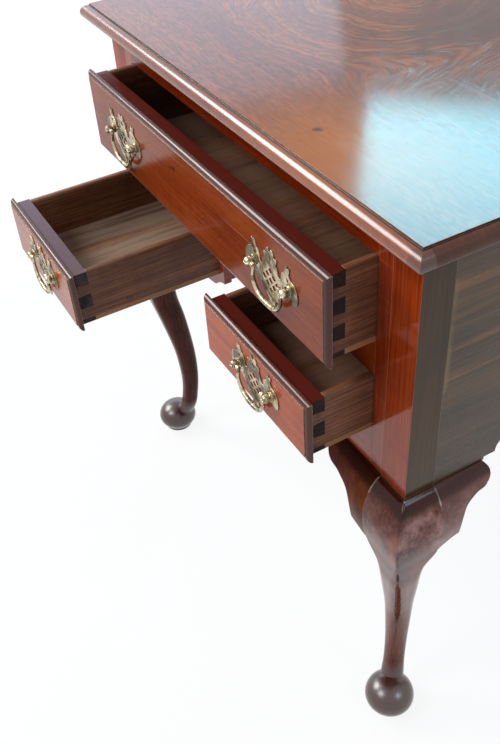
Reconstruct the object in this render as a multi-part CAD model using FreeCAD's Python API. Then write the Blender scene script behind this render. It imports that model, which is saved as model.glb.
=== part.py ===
import FreeCAD, Part
import math
import os

# A mahogany lowboy: a case on four cabriole legs with one long drawer over two small ones,
# and a kneehole between the small drawers. Millimetres. X to the right, Y to the back, Z up.
# The drawers stand open. The origin is on the floor under the middle of the whole piece.

V = FreeCAD.Vector
SIDES = (("left", -1), ("right", 1))

# Overall sizes, and the heights of the front from the floor up
CASE_WIDTH = 640.0
CASE_DEPTH = 430.0
LEG_HEIGHT = 415.0
APRON_HEIGHT = 53.0
SMALL_OPENING_HEIGHT = 70.0
MID_RAIL_HEIGHT = 41.5
TOP_OPENING_HEIGHT = 94.5
TOP_RAIL_HEIGHT = 35.5
TOP_THICKNESS = 20.5

# Edge of the top board: quirk, ovolo, fillet and cove, as overhangs past the case
TOP_OVERHANG = 27.0
TOP_BACK_OVERHANG = 8.0
QUIRK_OVERHANG = 16.6
QUIRK_DEPTH = 2.0
QUIRK_LEDGE = 0.8
OVOLO_HEIGHT = 10.5
FILLET_HEIGHT = 2.0
COVE_INSET = 1.5
COVE_DEPTH = 4.5

# How far each drawer is drawn out
TOP_DRAWER_OUT = 52.0
RIGHT_DRAWER_OUT = 74.0
LEFT_DRAWER_OUT = 185.0

# Case joinery
POST_WIDTH = 39.0
POST_DEPTH = 35.0
STRIP_WIDTH = 19.5
FRONT_THICKNESS = 20.0
SIDE_THICKNESS = 16.0
BACK_THICKNESS = 14.0
BACK_LIFT = 15.0
APRON_THICKNESS = 10.0
BOTTOM_RAIL_HEIGHT = 10.0
KNEEHOLE_HALF = 52.0
PARTITION_THICKNESS = 10.0
PARTITION_DROP = 6.0
ARCH_SPRING_DROP = 38.0
ARCH_CROWN_DROP = 12.0
DUSTBOARD_THICKNESS = 8.0
TOP_RUNNER_HEIGHT = 13.5
RUNNER_WIDTH = 22.0
GUIDE_HEIGHT = 20.0
BLOCK_LEG = 18.0
BLOCK_LENGTH = 60.0
BLOCKS_PER_SIDE = 3

# Drawers
LIP_OVER = 3.5
LIP_SIDE = 6.0
LIP_THICKNESS = 6.5
LIP_EDGE = 1.0
THUMBNAIL_WIDTH = 6.0
THUMBNAIL_QUIRK = 1.0
FRONT_BACKING = 18.0
DRAWER_SIDE_GAP = 1.0
DRAWER_TOP_GAP = 0.6
RUNNING_GAP = 0.3
DRAWER_DEPTH = 380.0
DRAWER_SIDE_THICKNESS = 9.5
DRAWER_BACK_THICKNESS = 9.0
DRAWER_BACK_DROP = 6.0
DRAWER_BOTTOM_THICKNESS = 6.0
STRIP_HEIGHT = 6.0
STRIP_LAP = 7.0
TOP_PINS = 3
SMALL_PINS = 2
PIN_SHARE = 0.5
DOVETAIL_FLARE = 1.8

# Handles
BORING = 64.0
TOP_HANDLE_FROM_END = 90.5
TOP_HANDLE_SHIFT = 4
SMALL_HANDLE_SHIFT = 7
HANDLE_LIFT = 1.5
PLATE_THICKNESS = 1.2
POST_COLLAR_RADIUS = 5.6
POST_COLLAR_THICKNESS = 1.2
POST_NECK_RADIUS = 3.4
POST_HEAD_RADIUS = 5.0
POST_SHANK_RADIUS = 2.2
PIVOT_OUT = 5.3
HEAD_FLAT = 4.2
SLOT_WIDTH = 1.1
SLOT_DEPTH = 1.0
NUT_RADIUS = 7.0
NUT_THICKNESS = 3.0
SHANK_PAST_NUT = 3.0
PIVOT_RADIUS = 1.5
PIVOT_CLEARANCE = 0.05
PIVOT_DEPTH = 3.2
PIVOT_END_GAP = 0.2
BAIL_EYE_RADIUS = 2.5
BAIL_EYE_HALF = 2.0
BAIL_EYE_GAP = 0.4
BAIL_DROP = 31.0
BAIL_ARM_RADIUS = 1.8
BAIL_GRIP_RADIUS = 2.9
BAIL_STATIONS = 16

# Cabriole legs
LEG_OVERLAP = 0.5
FOOT_CENTRE_IN = 7.5
FOOT_RADIUS = 31.5
FOOT_WIDEST = 21.0
FOOT_DOME = 26.0
FOOT_BASE_RADIUS = 22.5
FOOT_BASE_HEIGHT = 5.0
FOOT_BASE_STEP = 1.5
FOOT_RISE_SHARES = (0.33, 0.67)
FOOT_DOME_SHARES = (0.35, 0.65, 0.86, 0.97)

# Knee brackets, measured from the corner of the case
FRONT_EAR_LENGTH = 114.5
SIDE_EAR_LENGTH = 98.5
EAR_NOSE = 5.8
FRONT_EAR_NOSE_HEIGHT = 28.5
SIDE_EAR_NOSE_HEIGHT = 21.5
EAR_THICKNESS = 24.0
EAR_END_BULGE = 0.72
EAR_CUSP_OUT = 28.0
EAR_CUSP_DROP = 54.0
EAR_SWEEP_OUT = 15.0
EAR_SWEEP_DROP = 2.0
EAR_FOOT = 85.5
EAR_TRIM = 8.0
EAR_MARGIN = 20.0

# The ogee of a bracket: share of the way from its cusp to its nose, drop below the nose
EAR_OGEE = ((0.88, 3.0), (0.66, 4.0), (0.4, 7.5), (0.19, 12.5), (0.06, 23.0), (0.01, 37.0))

# Shaped lower edges, as rises over the bottom of the case
STEP_GAP = 2.5
STEP_LIFT = 4.0
STEP_ROUND = 5.0
STEP_ROUND_SHARE = 0.3
SIDE_FLAT_RUN = 15.0
SIDE_ARCH_RISE = 17.0
SIDE_ARCH_CROWN = 29.0
APRON_FLAT_RUN = 6.0
APRON_DIP_IN = 26.0
APRON_CURL_IN = 9.0
APRON_CURL_RISE = 40.7
APRON_TIP_RISE = 43.0

# The apron's edge: share of the way from its dip to its round, rise
APRON_LINE = ((1.0, 15.0), (0.7, 20.4), (0.39, 23.0), (0.0, 29.0))

# Heights over the floor
CASE_BOTTOM = LEG_HEIGHT
SMALL_OPENING_BOTTOM = CASE_BOTTOM + APRON_HEIGHT
SMALL_OPENING_TOP = SMALL_OPENING_BOTTOM + SMALL_OPENING_HEIGHT
TOP_OPENING_BOTTOM = SMALL_OPENING_TOP + MID_RAIL_HEIGHT
TOP_OPENING_TOP = TOP_OPENING_BOTTOM + TOP_OPENING_HEIGHT
CASE_TOP = TOP_OPENING_TOP + TOP_RAIL_HEIGHT
HEIGHT = CASE_TOP + TOP_THICKNESS
DUSTBOARD_TOP = TOP_OPENING_BOTTOM - TOP_RUNNER_HEIGHT
DUSTBOARD_UNDER = DUSTBOARD_TOP - DUSTBOARD_THICKNESS
PARTITION_BOTTOM = SMALL_OPENING_BOTTOM - PARTITION_DROP
ARCH_SPRING = SMALL_OPENING_TOP - ARCH_SPRING_DROP
ARCH_CROWN = SMALL_OPENING_TOP - ARCH_CROWN_DROP
EAR_FOOT_HEIGHT = CASE_BOTTOM - EAR_FOOT

# The reach of the handles past the drawers' faces, and the place of the case front
HANDLE_REACH = PLATE_THICKNESS + PIVOT_OUT + HEAD_FLAT
FRONT_REACH = LEFT_DRAWER_OUT + LIP_THICKNESS + HANDLE_REACH
BACK_REACH = CASE_DEPTH + FOOT_RADIUS - FOOT_CENTRE_IN
FRONT = (FRONT_REACH - BACK_REACH) / 2
BACK = FRONT + CASE_DEPTH
HALF = CASE_WIDTH / 2
POST_INNER = HALF - POST_WIDTH
OPENING_HALF = POST_INNER - STRIP_WIDTH
PANEL_INNER = HALF - SIDE_THICKNESS
OPENING_INNER = KNEEHOLE_HALF + PARTITION_THICKNESS
BEHIND_POSTS = FRONT + POST_DEPTH
BACK_INNER = BACK - BACK_THICKNESS
BACK_POSTS = BACK - POST_DEPTH

# Cabriole line: share of the leg's height, reach outward past the case, reach inward past
# the post, and the radii of the outer arris, of the two side edges and of the inner edge
LEG_LINE = (
    (1.0, 2.0, 3.0, 1.5, 1.0, 2.0),
    (0.983, 10.0, 3.0, 1.5, 1.0, 2.0),
    (0.964, 15.0, 3.0, 1.5, 1.0, 2.0),
    (0.94, 19.0, 3.0, 1.5, 1.0, 2.0),
    (0.904, 22.5, 3.0, 1.5, 1.0, 2.0),
    (0.855, 22.5, 3.0, 2.0, 1.0, 2.0),
    (0.819, 20.4, 3.0, 3.0, 1.0, 2.0),
    (0.788, 17.9, -1.5, 4.0, 1.5, 3.0),
    (0.764, 16.2, -4.0, 6.0, 5.0, 6.0),
    (0.74, 14.4, -7.0, 8.5, 9.0, 10.0),
    (0.708, 11.9, -8.0, 11.0, 12.0, 13.0),
    (0.672, 9.3, -7.0, 13.0, 14.0, 15.0),
    (0.6, 2.6, -2.0, 14.5, 15.5, 16.5),
    (0.513, -5.4, 2.3, 14.5, 15.5, 16.0),
    (0.429, -12.2, 5.0, 13.6, 13.8, 14.0),
    (0.335, -16.2, 6.0, 12.4, 12.4, 12.4),
    (0.241, -17.3, 4.2, 11.0, 11.0, 11.0),
    (0.181, -15.5, 1.6, 10.6, 10.6, 10.6),
    (0.147, -13.5, 0.0, 11.0, 11.0, 11.0),
    (0.12, -10.0, -2.0, 12.0, 12.0, 12.0),
    (0.096, -5.5, -5.0, 13.0, 13.0, 13.0),
    (0.072, -3.0, -8.0, 13.0, 13.0, 13.0),
)

# Right half of the handle plate, from the notch of its finial round to its pendant
PLATE_LINE = (
    (0.0, 25.6), (3.4, 28.6), (6.2, 26.0), (6.8, 21.8), (10.2, 22.4), (11.4, 18.6),
    (9.6, 15.2), (12.6, 12.0), (13.6, 6.6), (17.2, 5.4), (19.6, 10.2), (21.0, 15.4),
    (24.2, 17.6), (26.6, 22.0), (29.0, 25.8), (31.0, 23.8), (33.2, 25.2), (33.8, 21.4),
    (32.4, 17.8), (35.0, 14.4), (41.0, 11.8), (45.2, 7.4), (46.8, 1.0), (46.4, -5.2),
    (43.6, -9.4), (39.8, -9.8), (37.2, -7.0), (33.6, -7.0), (28.4, -10.2), (23.4, -14.6),
    (17.4, -18.6), (14.8, -24.2), (9.6, -26.4), (5.6, -30.0), (6.8, -34.6), (7.0, -39.0),
    (4.4, -41.6), (2.2, -39.4),
)
PLATE_PENDANT = (0.0, -37.6)
WING_HOLE = ((27.4, 14.4), (32.6, 12.4), (30.4, 8.0))
FINIAL_HOLE = ((0.0, 22.4), (2.2, 18.4), (0.0, 14.4), (-2.2, 18.4))
LATTICE_HALF_WIDTH = 4.1
LATTICE_HALF_HEIGHT = 3.4
LATTICE_PITCH = 5.8
LATTICE_LEVELS = (4.6, -0.9, -6.4, -11.9, -17.4)
LATTICE_COUNTS = (1, 2, 3, 2, 1)


def box(x, y, z):
    """A block from three (low, high) pairs."""
    return Part.makeBox(x[1] - x[0], y[1] - y[0], z[1] - z[0], V(x[0], y[0], z[0]))


def prism(points, along):
    """A straight-sided block with this outline."""
    outline = Part.makePolygon(list(points) + [points[0]])
    return Part.Face(outline).extrude(along)


def solid_of(edges, along):
    """A block whose outline is a closed chain of edges."""
    wire = Part.Wire(Part.__sortEdges__(edges))
    return Part.Face(wire).extrude(along)


def fused(shapes):
    """One clean solid from shapes that overlap or share faces."""
    shapes = list(shapes)
    return shapes[0].multiFuse(shapes[1:]).removeSplitter()


def line(a, b):
    return Part.LineSegment(a, b).toShape()


def arc(a, middle, b):
    return Part.Arc(a, middle, b).toShape()


def curve(points):
    """A smooth open curve through the points."""
    spline = Part.BSplineCurve()
    spline.interpolate(points)
    return spline.toShape()


def flipped(shape, sign):
    """The piece on its own side of the middle."""
    if sign > 0:
        return shape
    return shape.mirror(V(0, 0, 0), V(1, 0, 0))


def turned_back(shape):
    """The piece at the back, mirrored about the middle of the case depth."""
    return shape.mirror(V(0, (FRONT + BACK) / 2, 0), V(0, 1, 0))


def save(name, shape):
    shape.exportStep(f"parts/{name}.step")


# The top board

def edge_chain(place):
    """Edges of the moulded edge from its underside up; place sets (overhang, height)."""
    quirk_floor = HEIGHT - QUIRK_DEPTH
    ovolo_foot = quirk_floor - OVOLO_HEIGHT
    fillet_foot = ovolo_foot - FILLET_HEIGHT
    ovolo_start = QUIRK_OVERHANG + QUIRK_LEDGE
    cove_top = TOP_OVERHANG - COVE_INSET
    cove_foot = cove_top - COVE_DEPTH
    lean = math.sqrt(0.5)
    ovolo_mid = (ovolo_start + (TOP_OVERHANG - ovolo_start) * lean,
                 ovolo_foot + OVOLO_HEIGHT * lean)
    cove_mid = (cove_foot + COVE_DEPTH * (1 - lean),
                fillet_foot - (fillet_foot - CASE_TOP) * (1 - lean))
    return [
        arc(place(cove_foot, CASE_TOP), place(*cove_mid), place(cove_top, fillet_foot)),
        line(place(cove_top, fillet_foot), place(TOP_OVERHANG, fillet_foot)),
        line(place(TOP_OVERHANG, fillet_foot), place(TOP_OVERHANG, ovolo_foot)),
        arc(place(TOP_OVERHANG, ovolo_foot), place(*ovolo_mid), place(ovolo_start, quirk_floor)),
        line(place(ovolo_start, quirk_floor), place(QUIRK_OVERHANG, quirk_floor)),
        line(place(QUIRK_OVERHANG, quirk_floor), place(QUIRK_OVERHANG, HEIGHT)),
    ]


def top_board():
    """A board moulded on its front and ends; the mouldings meet in mitres."""
    far = HALF + TOP_OVERHANG
    foot = TOP_OVERHANG - COVE_INSET - COVE_DEPTH
    rear = BACK + TOP_BACK_OVERHANG

    def front(out, z):
        return V(-far, FRONT - out, z)

    def right(out, z):
        return V(HALF + out, FRONT - TOP_OVERHANG, z)

    def left(out, z):
        return V(-HALF - out, FRONT - TOP_OVERHANG, z)

    along = edge_chain(front) + [
        line(front(foot, CASE_TOP), V(-far, rear, CASE_TOP)),
        line(V(-far, rear, CASE_TOP), V(-far, rear, HEIGHT)),
        line(V(-far, rear, HEIGHT), front(QUIRK_OVERHANG, HEIGHT)),
    ]
    across = edge_chain(right) + edge_chain(left) + [
        line(right(foot, CASE_TOP), left(foot, CASE_TOP)),
        line(right(QUIRK_OVERHANG, HEIGHT), left(QUIRK_OVERHANG, HEIGHT)),
    ]
    run = solid_of(along, V(2 * far, 0, 0))
    ends = solid_of(across, V(0, rear - FRONT + TOP_OVERHANG, 0))
    return run.common(ends)


# Legs and their brackets, all made at the front right corner

def corner_wire(z, out, inward, radii):
    """A rounded rectangle about the case corner at one height."""
    outer, side, inner = radii
    x = (HALF - inward, HALF + out)
    y = (FRONT - out, FRONT + inward)
    corners = (
        (x[1], y[0], -1, 1, outer),
        (x[1], y[1], -1, -1, side),
        (x[0], y[1], 1, -1, inner),
        (x[0], y[0], 1, 1, side),
    )
    ends = []
    for at_x, at_y, to_x, to_y, radius in corners:
        along_x = V(at_x + to_x * radius, at_y, z)
        along_y = V(at_x, at_y + to_y * radius, z)
        bulge = radius * (1 - math.sqrt(0.5))
        middle = V(at_x + to_x * bulge, at_y + to_y * bulge, z)
        first, last = (along_x, along_y) if to_x * to_y < 0 else (along_y, along_x)
        ends.append((first, middle, last))
    edges = []
    for number, (first, middle, last) in enumerate(ends):
        edges.append(arc(first, middle, last))
        edges.append(line(last, ends[(number + 1) % len(ends)][0]))
    return Part.Wire(edges)


def front_leg():
    """Post, knee, ankle and pad foot in one piece of wood."""
    wires = []
    for share, out, past, outer, side, inner in LEG_LINE:
        radii = (outer, side, inner)
        wires.append(corner_wire(share * LEG_HEIGHT, out, POST_WIDTH + past, radii))
    knee = Part.makeLoft(wires, True, False)
    z = (EAR_FOOT_HEIGHT - EAR_TRIM, CASE_BOTTOM)
    beside = box((POST_INNER - POST_WIDTH, POST_INNER), (FRONT - POST_DEPTH, BACK), z)
    behind = box((0, HALF + POST_WIDTH), (BEHIND_POSTS, BEHIND_POSTS + POST_DEPTH), z)
    knee = knee.cut(beside).cut(behind)
    post = box((POST_INNER, HALF), (FRONT, BEHIND_POSTS), (CASE_BOTTOM - LEG_OVERLAP, CASE_TOP))
    return fused([knee, post, foot()])


def foot():
    """A pad foot on a thin step, set inward of both faces of the case."""
    centre = (HALF - FOOT_CENTRE_IN, FRONT + FOOT_CENTRE_IN)

    def at(radius, z):
        return V(centre[0] + radius, centre[1], z)

    def ellipse(z, height):
        return FOOT_RADIUS * math.sqrt(1 - ((z - FOOT_WIDEST) / height) ** 2)

    top = FOOT_WIDEST + FOOT_DOME
    shoulder = FOOT_BASE_RADIUS + FOOT_BASE_STEP
    swell = FOOT_WIDEST - FOOT_BASE_HEIGHT
    rise = [FOOT_BASE_HEIGHT + swell * share for share in FOOT_RISE_SHARES]
    dome = [FOOT_WIDEST + FOOT_DOME * share for share in FOOT_DOME_SHARES]
    side = [at(shoulder, FOOT_BASE_HEIGHT)]
    side += [at(ellipse(z, FOOT_WIDEST + FOOT_BASE_HEIGHT / 2), z) for z in rise]
    side.append(at(FOOT_RADIUS, FOOT_WIDEST))
    side += [at(ellipse(z, FOOT_DOME), z) for z in dome]
    side.append(at(0, top))
    outline = [
        line(at(0, 0), at(FOOT_BASE_RADIUS, 0)),
        line(at(FOOT_BASE_RADIUS, 0), at(FOOT_BASE_RADIUS, FOOT_BASE_HEIGHT)),
        line(at(FOOT_BASE_RADIUS, FOOT_BASE_HEIGHT), at(shoulder, FOOT_BASE_HEIGHT)),
        curve(side),
        line(at(0, top), at(0, 0)),
    ]
    wire = Part.Wire(outline)
    return Part.Face(wire).revolve(V(centre[0], centre[1], 0), V(0, 0, 1), 360)


def knee_block(near, far):
    """A block along the side that bulges like the knee, less so at its far end."""
    def section(y, share):
        face = [V(HALF + out * share, y, z) for z, out in knee_face()]
        back = HALF - EAR_THICKNESS
        top, foot_z = CASE_BOTTOM, face[-1].z
        return Part.Wire([
            line(V(back, y, top), V(face[0].x, y, top)),
            curve(face),
            line(face[-1], V(back, y, foot_z)),
            line(V(back, y, foot_z), V(back, y, top)),
        ])
    ends = [section(FRONT + near, 1.0), section(FRONT + far, EAR_END_BULGE)]
    return Part.makeLoft(ends, True, True)


def knee_face():
    """Heights and reaches of the knee down to just under the foot of the brackets."""
    lowest = EAR_FOOT_HEIGHT - EAR_MARGIN
    return [(share * LEG_HEIGHT, out) for share, out, *_ in LEG_LINE
            if share * LEG_HEIGHT > lowest]


def across_corner(shape):
    """The same piece swapped about the diagonal of the corner, from the side to the front."""
    return shape.mirror(V(HALF, FRONT, 0), V(1, 1, 0))


def ear_outline(near, length, nose, place):
    """Lower edge of a bracket: a round nose, an ogee to a cusp, and a sweep into the leg."""
    top = CASE_BOTTOM
    cusp_at = near + EAR_CUSP_OUT
    under = top - nose
    nose_foot = place(length, under)
    nose_mid = place(length + EAR_NOSE, top - nose / 2)
    cusp = place(cusp_at, under - EAR_CUSP_DROP)
    ogee = [place(cusp_at + (length - cusp_at) * share, under - drop) for share, drop in EAR_OGEE]
    turn = place(near + EAR_SWEEP_OUT, under - EAR_CUSP_DROP - EAR_SWEEP_DROP)
    root = place(near, EAR_FOOT_HEIGHT)
    return [
        line(place(near, top), place(length, top)),
        arc(place(length, top), nose_mid, nose_foot),
        curve([nose_foot] + ogee + [cusp]),
        curve([cusp, turn, root]),
        line(root, place(near, top)),
    ]


def side_ear(near, length, nose):
    """Bracket between the right front leg and the side."""
    def place(along, z):
        return V(HALF - EAR_THICKNESS, FRONT + along, z)

    outline = solid_of(ear_outline(near, length, nose, place), V(EAR_THICKNESS * 3, 0, 0))
    return knee_block(near, length + EAR_NOSE).common(outline)


def make_legs_and_ears():
    leg = front_leg()
    side = side_ear(POST_DEPTH, SIDE_EAR_LENGTH, SIDE_EAR_NOSE_HEIGHT)
    front = across_corner(side_ear(POST_WIDTH, FRONT_EAR_LENGTH, FRONT_EAR_NOSE_HEIGHT))
    for name, sign in SIDES:
        save(f"leg_front_{name}", flipped(leg, sign))
        save(f"leg_back_{name}", turned_back(flipped(leg, sign)))
        save(f"knee_bracket_front_{name}", flipped(front, sign))
        save(f"knee_bracket_side_{name}", flipped(side, sign))
        save(f"knee_bracket_back_{name}", turned_back(flipped(side, sign)))


# Panels and rails

def side_panel():
    """Right side, its lower edge stepped up past the brackets and gently arched."""
    def at(y, z):
        return V(PANEL_INNER, y, z)

    ear_near = FRONT + SIDE_EAR_LENGTH + STEP_GAP
    ear_far = BACK - SIDE_EAR_LENGTH - STEP_GAP
    near = ear_near + SIDE_FLAT_RUN
    far = ear_far - SIDE_FLAT_RUN
    flat = CASE_BOTTOM + STEP_LIFT
    spring = CASE_BOTTOM + SIDE_ARCH_RISE
    middle = (near + far) / 2
    lean = STEP_ROUND * STEP_ROUND_SHARE
    front_round = at(near + lean, spring - STEP_ROUND)
    back_round = at(far - lean, spring - STEP_ROUND)
    edges = [
        line(at(BEHIND_POSTS, CASE_BOTTOM), at(ear_near, CASE_BOTTOM)),
        line(at(ear_near, CASE_BOTTOM), at(ear_near, flat)),
        line(at(ear_near, flat), at(near, flat)),
        arc(at(near, flat), front_round, at(near + STEP_ROUND, spring)),
        arc(at(near + STEP_ROUND, spring), at(middle, CASE_BOTTOM + SIDE_ARCH_CROWN),
            at(far - STEP_ROUND, spring)),
        arc(at(far - STEP_ROUND, spring), back_round, at(far, flat)),
        line(at(far, flat), at(ear_far, flat)),
        line(at(ear_far, flat), at(ear_far, CASE_BOTTOM)),
        line(at(ear_far, CASE_BOTTOM), at(BACK_POSTS, CASE_BOTTOM)),
        line(at(BACK_POSTS, CASE_BOTTOM), at(BACK_POSTS, CASE_TOP)),
        line(at(BACK_POSTS, CASE_TOP), at(BEHIND_POSTS, CASE_TOP)),
        line(at(BEHIND_POSTS, CASE_TOP), at(BEHIND_POSTS, CASE_BOTTOM)),
    ]
    return solid_of(edges, V(SIDE_THICKNESS, 0, 0))


def front_rail(z):
    """A rail between the front strips, shouldered behind them to meet the posts."""
    between = box((-OPENING_HALF, OPENING_HALF), (FRONT, BEHIND_POSTS), z)
    tongue = box((-POST_INNER, POST_INNER), (FRONT + FRONT_THICKNESS, BEHIND_POSTS), z)
    return fused([between, tongue])


def apron():
    """Right half of the front below the small drawer, with its curved lower edge."""
    def at(x, z):
        return V(x, FRONT, z)

    step = HALF - FRONT_EAR_LENGTH - STEP_GAP
    start = step - APRON_FLAT_RUN
    dip = KNEEHOLE_HALF + APRON_DIP_IN
    step_z = CASE_BOTTOM + STEP_LIFT
    room = start - STEP_ROUND - dip
    edge = [at(dip + room * share, CASE_BOTTOM + rise) for share, rise in APRON_LINE]
    round_mid = at(start - STEP_ROUND * STEP_ROUND_SHARE, edge[0].z - STEP_ROUND)
    curl = at(KNEEHOLE_HALF + APRON_CURL_IN, CASE_BOTTOM + APRON_CURL_RISE)
    tip = at(KNEEHOLE_HALF, CASE_BOTTOM + APRON_TIP_RISE)
    edges = [
        line(at(OPENING_HALF, SMALL_OPENING_BOTTOM), at(OPENING_HALF, CASE_BOTTOM)),
        line(at(OPENING_HALF, CASE_BOTTOM), at(step, CASE_BOTTOM)),
        line(at(step, CASE_BOTTOM), at(step, step_z)),
        line(at(step, step_z), at(start, step_z)),
        arc(at(start, step_z), round_mid, edge[0]),
        curve(edge),
        curve([edge[-1], curl, tip]),
        line(tip, at(KNEEHOLE_HALF, SMALL_OPENING_BOTTOM)),
        line(at(KNEEHOLE_HALF, SMALL_OPENING_BOTTOM), at(OPENING_HALF, SMALL_OPENING_BOTTOM)),
    ]
    return solid_of(edges, V(0, APRON_THICKNESS, 0))


def kneehole_arch():
    """The board over the kneehole: two narrow stiles joined by an arch."""
    def at(x, z):
        return V(x, FRONT, z)

    knee = KNEEHOLE_HALF
    edges = [
        line(at(-OPENING_INNER, SMALL_OPENING_BOTTOM), at(-OPENING_INNER, SMALL_OPENING_TOP)),
        line(at(-OPENING_INNER, SMALL_OPENING_TOP), at(OPENING_INNER, SMALL_OPENING_TOP)),
        line(at(OPENING_INNER, SMALL_OPENING_TOP), at(OPENING_INNER, SMALL_OPENING_BOTTOM)),
        line(at(OPENING_INNER, SMALL_OPENING_BOTTOM), at(knee, SMALL_OPENING_BOTTOM)),
        line(at(knee, SMALL_OPENING_BOTTOM), at(knee, ARCH_SPRING)),
        arc(at(knee, ARCH_SPRING), at(0, ARCH_CROWN), at(-knee, ARCH_SPRING)),
        line(at(-knee, ARCH_SPRING), at(-knee, SMALL_OPENING_BOTTOM)),
        line(at(-knee, SMALL_OPENING_BOTTOM), at(-OPENING_INNER, SMALL_OPENING_BOTTOM)),
    ]
    return solid_of(edges, V(0, APRON_THICKNESS, 0))


def partition():
    """Wall between the kneehole and the right drawer, under the mid rail and the dustboard."""
    x = (KNEEHOLE_HALF, OPENING_INNER)
    behind = FRONT + APRON_THICKNESS
    under_rail = box(x, (behind, BEHIND_POSTS), (PARTITION_BOTTOM, SMALL_OPENING_TOP))
    under_board = box(x, (BEHIND_POSTS, BACK_INNER), (PARTITION_BOTTOM, DUSTBOARD_UNDER))
    return fused([under_rail, under_board])


def bottom_rail():
    """Bearer behind the apron, under the mouth of the right drawer."""
    z = (SMALL_OPENING_BOTTOM - BOTTOM_RAIL_HEIGHT, SMALL_OPENING_BOTTOM)
    behind = FRONT + APRON_THICKNESS
    between = box((OPENING_INNER, OPENING_HALF), (behind, BEHIND_POSTS), z)
    tongue = box((OPENING_HALF, POST_INNER), (FRONT + FRONT_THICKNESS, BEHIND_POSTS), z)
    return fused([between, tongue])


def dustboard():
    z = (DUSTBOARD_UNDER, DUSTBOARD_TOP)
    return box((-PANEL_INNER, PANEL_INNER), (BEHIND_POSTS, BACK_POSTS), z)


def make_case():
    save("top_board", top_board())
    save("top_rail", front_rail((TOP_OPENING_TOP, CASE_TOP)))
    save("mid_rail", front_rail((SMALL_OPENING_TOP, TOP_OPENING_BOTTOM)))
    save("kneehole_arch", kneehole_arch())
    save("dustboard", dustboard())
    save("back_board", box((-POST_INNER, POST_INNER), (BACK_INNER, BACK),
                           (CASE_BOTTOM + BACK_LIFT, CASE_TOP)))
    strip = box((OPENING_HALF, POST_INNER), (FRONT, FRONT + FRONT_THICKNESS),
                (CASE_BOTTOM, CASE_TOP))
    for name, sign in SIDES:
        save(f"side_{name}", flipped(side_panel(), sign))
        save(f"front_strip_{name}", flipped(strip, sign))
        save(f"apron_{name}", flipped(apron(), sign))
        save(f"partition_{name}", flipped(partition(), sign))


# Drawer bearers, guides, kickers and blocks

def both_sides(shapes):
    """The pieces on the right, and the same on the left."""
    shapes = list(shapes)
    return Part.makeCompound(shapes + [flipped(shape, -1) for shape in shapes])


def runners():
    """Bearers under the edges of the drawers, a hair below the rails."""
    along = (BEHIND_POSTS, BACK_POSTS)
    outer = (OPENING_HALF - RUNNER_WIDTH, PANEL_INNER)
    inner = (OPENING_INNER, OPENING_INNER + RUNNER_WIDTH)
    small_top = SMALL_OPENING_BOTTOM + DRAWER_TOP_GAP - RUNNING_GAP
    small = (SMALL_OPENING_BOTTOM - BOTTOM_RAIL_HEIGHT, small_top)
    top = (DUSTBOARD_TOP, TOP_OPENING_BOTTOM + DRAWER_TOP_GAP - RUNNING_GAP)
    return both_sides([
        box(outer, along, top),
        box(outer, along, small),
        box(inner, (BEHIND_POSTS, BACK_INNER), small),
        bottom_rail(),
    ])


def guides():
    """Fillets that fill the room between the sides and the drawers."""
    along = (BEHIND_POSTS, BACK_POSTS)
    x = (OPENING_HALF, PANEL_INNER)
    small = SMALL_OPENING_BOTTOM + DRAWER_TOP_GAP - RUNNING_GAP
    top = TOP_OPENING_BOTTOM + DRAWER_TOP_GAP - RUNNING_GAP
    return both_sides([
        box(x, along, (small, small + GUIDE_HEIGHT)),
        box(x, along, (top, top + GUIDE_HEIGHT)),
    ])


def kickers():
    """Strips over the drawers' sides that keep an open drawer from tipping."""
    along = (BEHIND_POSTS, BACK_POSTS)
    x = (OPENING_HALF - RUNNER_WIDTH, PANEL_INNER)
    return both_sides([
        box(x, along, (SMALL_OPENING_TOP, DUSTBOARD_UNDER)),
        box(x, along, (TOP_OPENING_TOP, CASE_TOP - BLOCK_LEG)),
    ])


def glue_blocks():
    """Three-cornered blocks rubbed into the corner under the top, along both sides."""
    blocks = []
    room = BACK_POSTS - BEHIND_POSTS
    for number in range(BLOCKS_PER_SIDE):
        middle = BEHIND_POSTS + room * (number + 0.5) / BLOCKS_PER_SIDE
        start = middle - BLOCK_LENGTH / 2
        corner = [
            V(PANEL_INNER, start, CASE_TOP),
            V(PANEL_INNER - BLOCK_LEG, start, CASE_TOP),
            V(PANEL_INNER, start, CASE_TOP - BLOCK_LEG),
        ]
        blocks.append(prism(corner, V(0, BLOCK_LENGTH, 0)))
    return both_sides(blocks)


def make_bearers():
    save("runners", runners())
    save("drawer_guides", guides())
    save("kickers", kickers())
    save("glue_blocks", glue_blocks())


# Drawers

def lip_moulding_cutter(x, z, face):
    """What the thumbnail moulding takes off the four edges of a drawer's lip."""
    quirk = face + THUMBNAIL_QUIRK
    edge = face + LIP_THICKNESS - LIP_EDGE
    lean = 1 - math.sqrt(0.5)
    middle = (THUMBNAIL_WIDTH * lean, quirk + (edge - quirk) * lean)
    past = LIP_THICKNESS

    def chain(place, along):
        # place sets (distance in from the lip's edge, y)
        edges = [
            line(place(THUMBNAIL_WIDTH, face - past), place(THUMBNAIL_WIDTH, quirk)),
            arc(place(THUMBNAIL_WIDTH, quirk), place(*middle), place(0, edge)),
            line(place(0, edge), place(-past, edge)),
            line(place(-past, edge), place(-past, face - past)),
            line(place(-past, face - past), place(THUMBNAIL_WIDTH, face - past)),
        ]
        return solid_of(edges, along)

    start_x, width = x[0] - past, x[1] - x[0] + 2 * past
    start_z, height = z[0] - past, z[1] - z[0] + 2 * past
    return [
        chain(lambda d, y: V(start_x, y, z[1] - d), V(width, 0, 0)),
        chain(lambda d, y: V(start_x, y, z[0] + d), V(width, 0, 0)),
        chain(lambda d, y: V(x[0] + d, y, start_z), V(0, 0, height)),
        chain(lambda d, y: V(x[1] - d, y, start_z), V(0, 0, height)),
    ]


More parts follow.
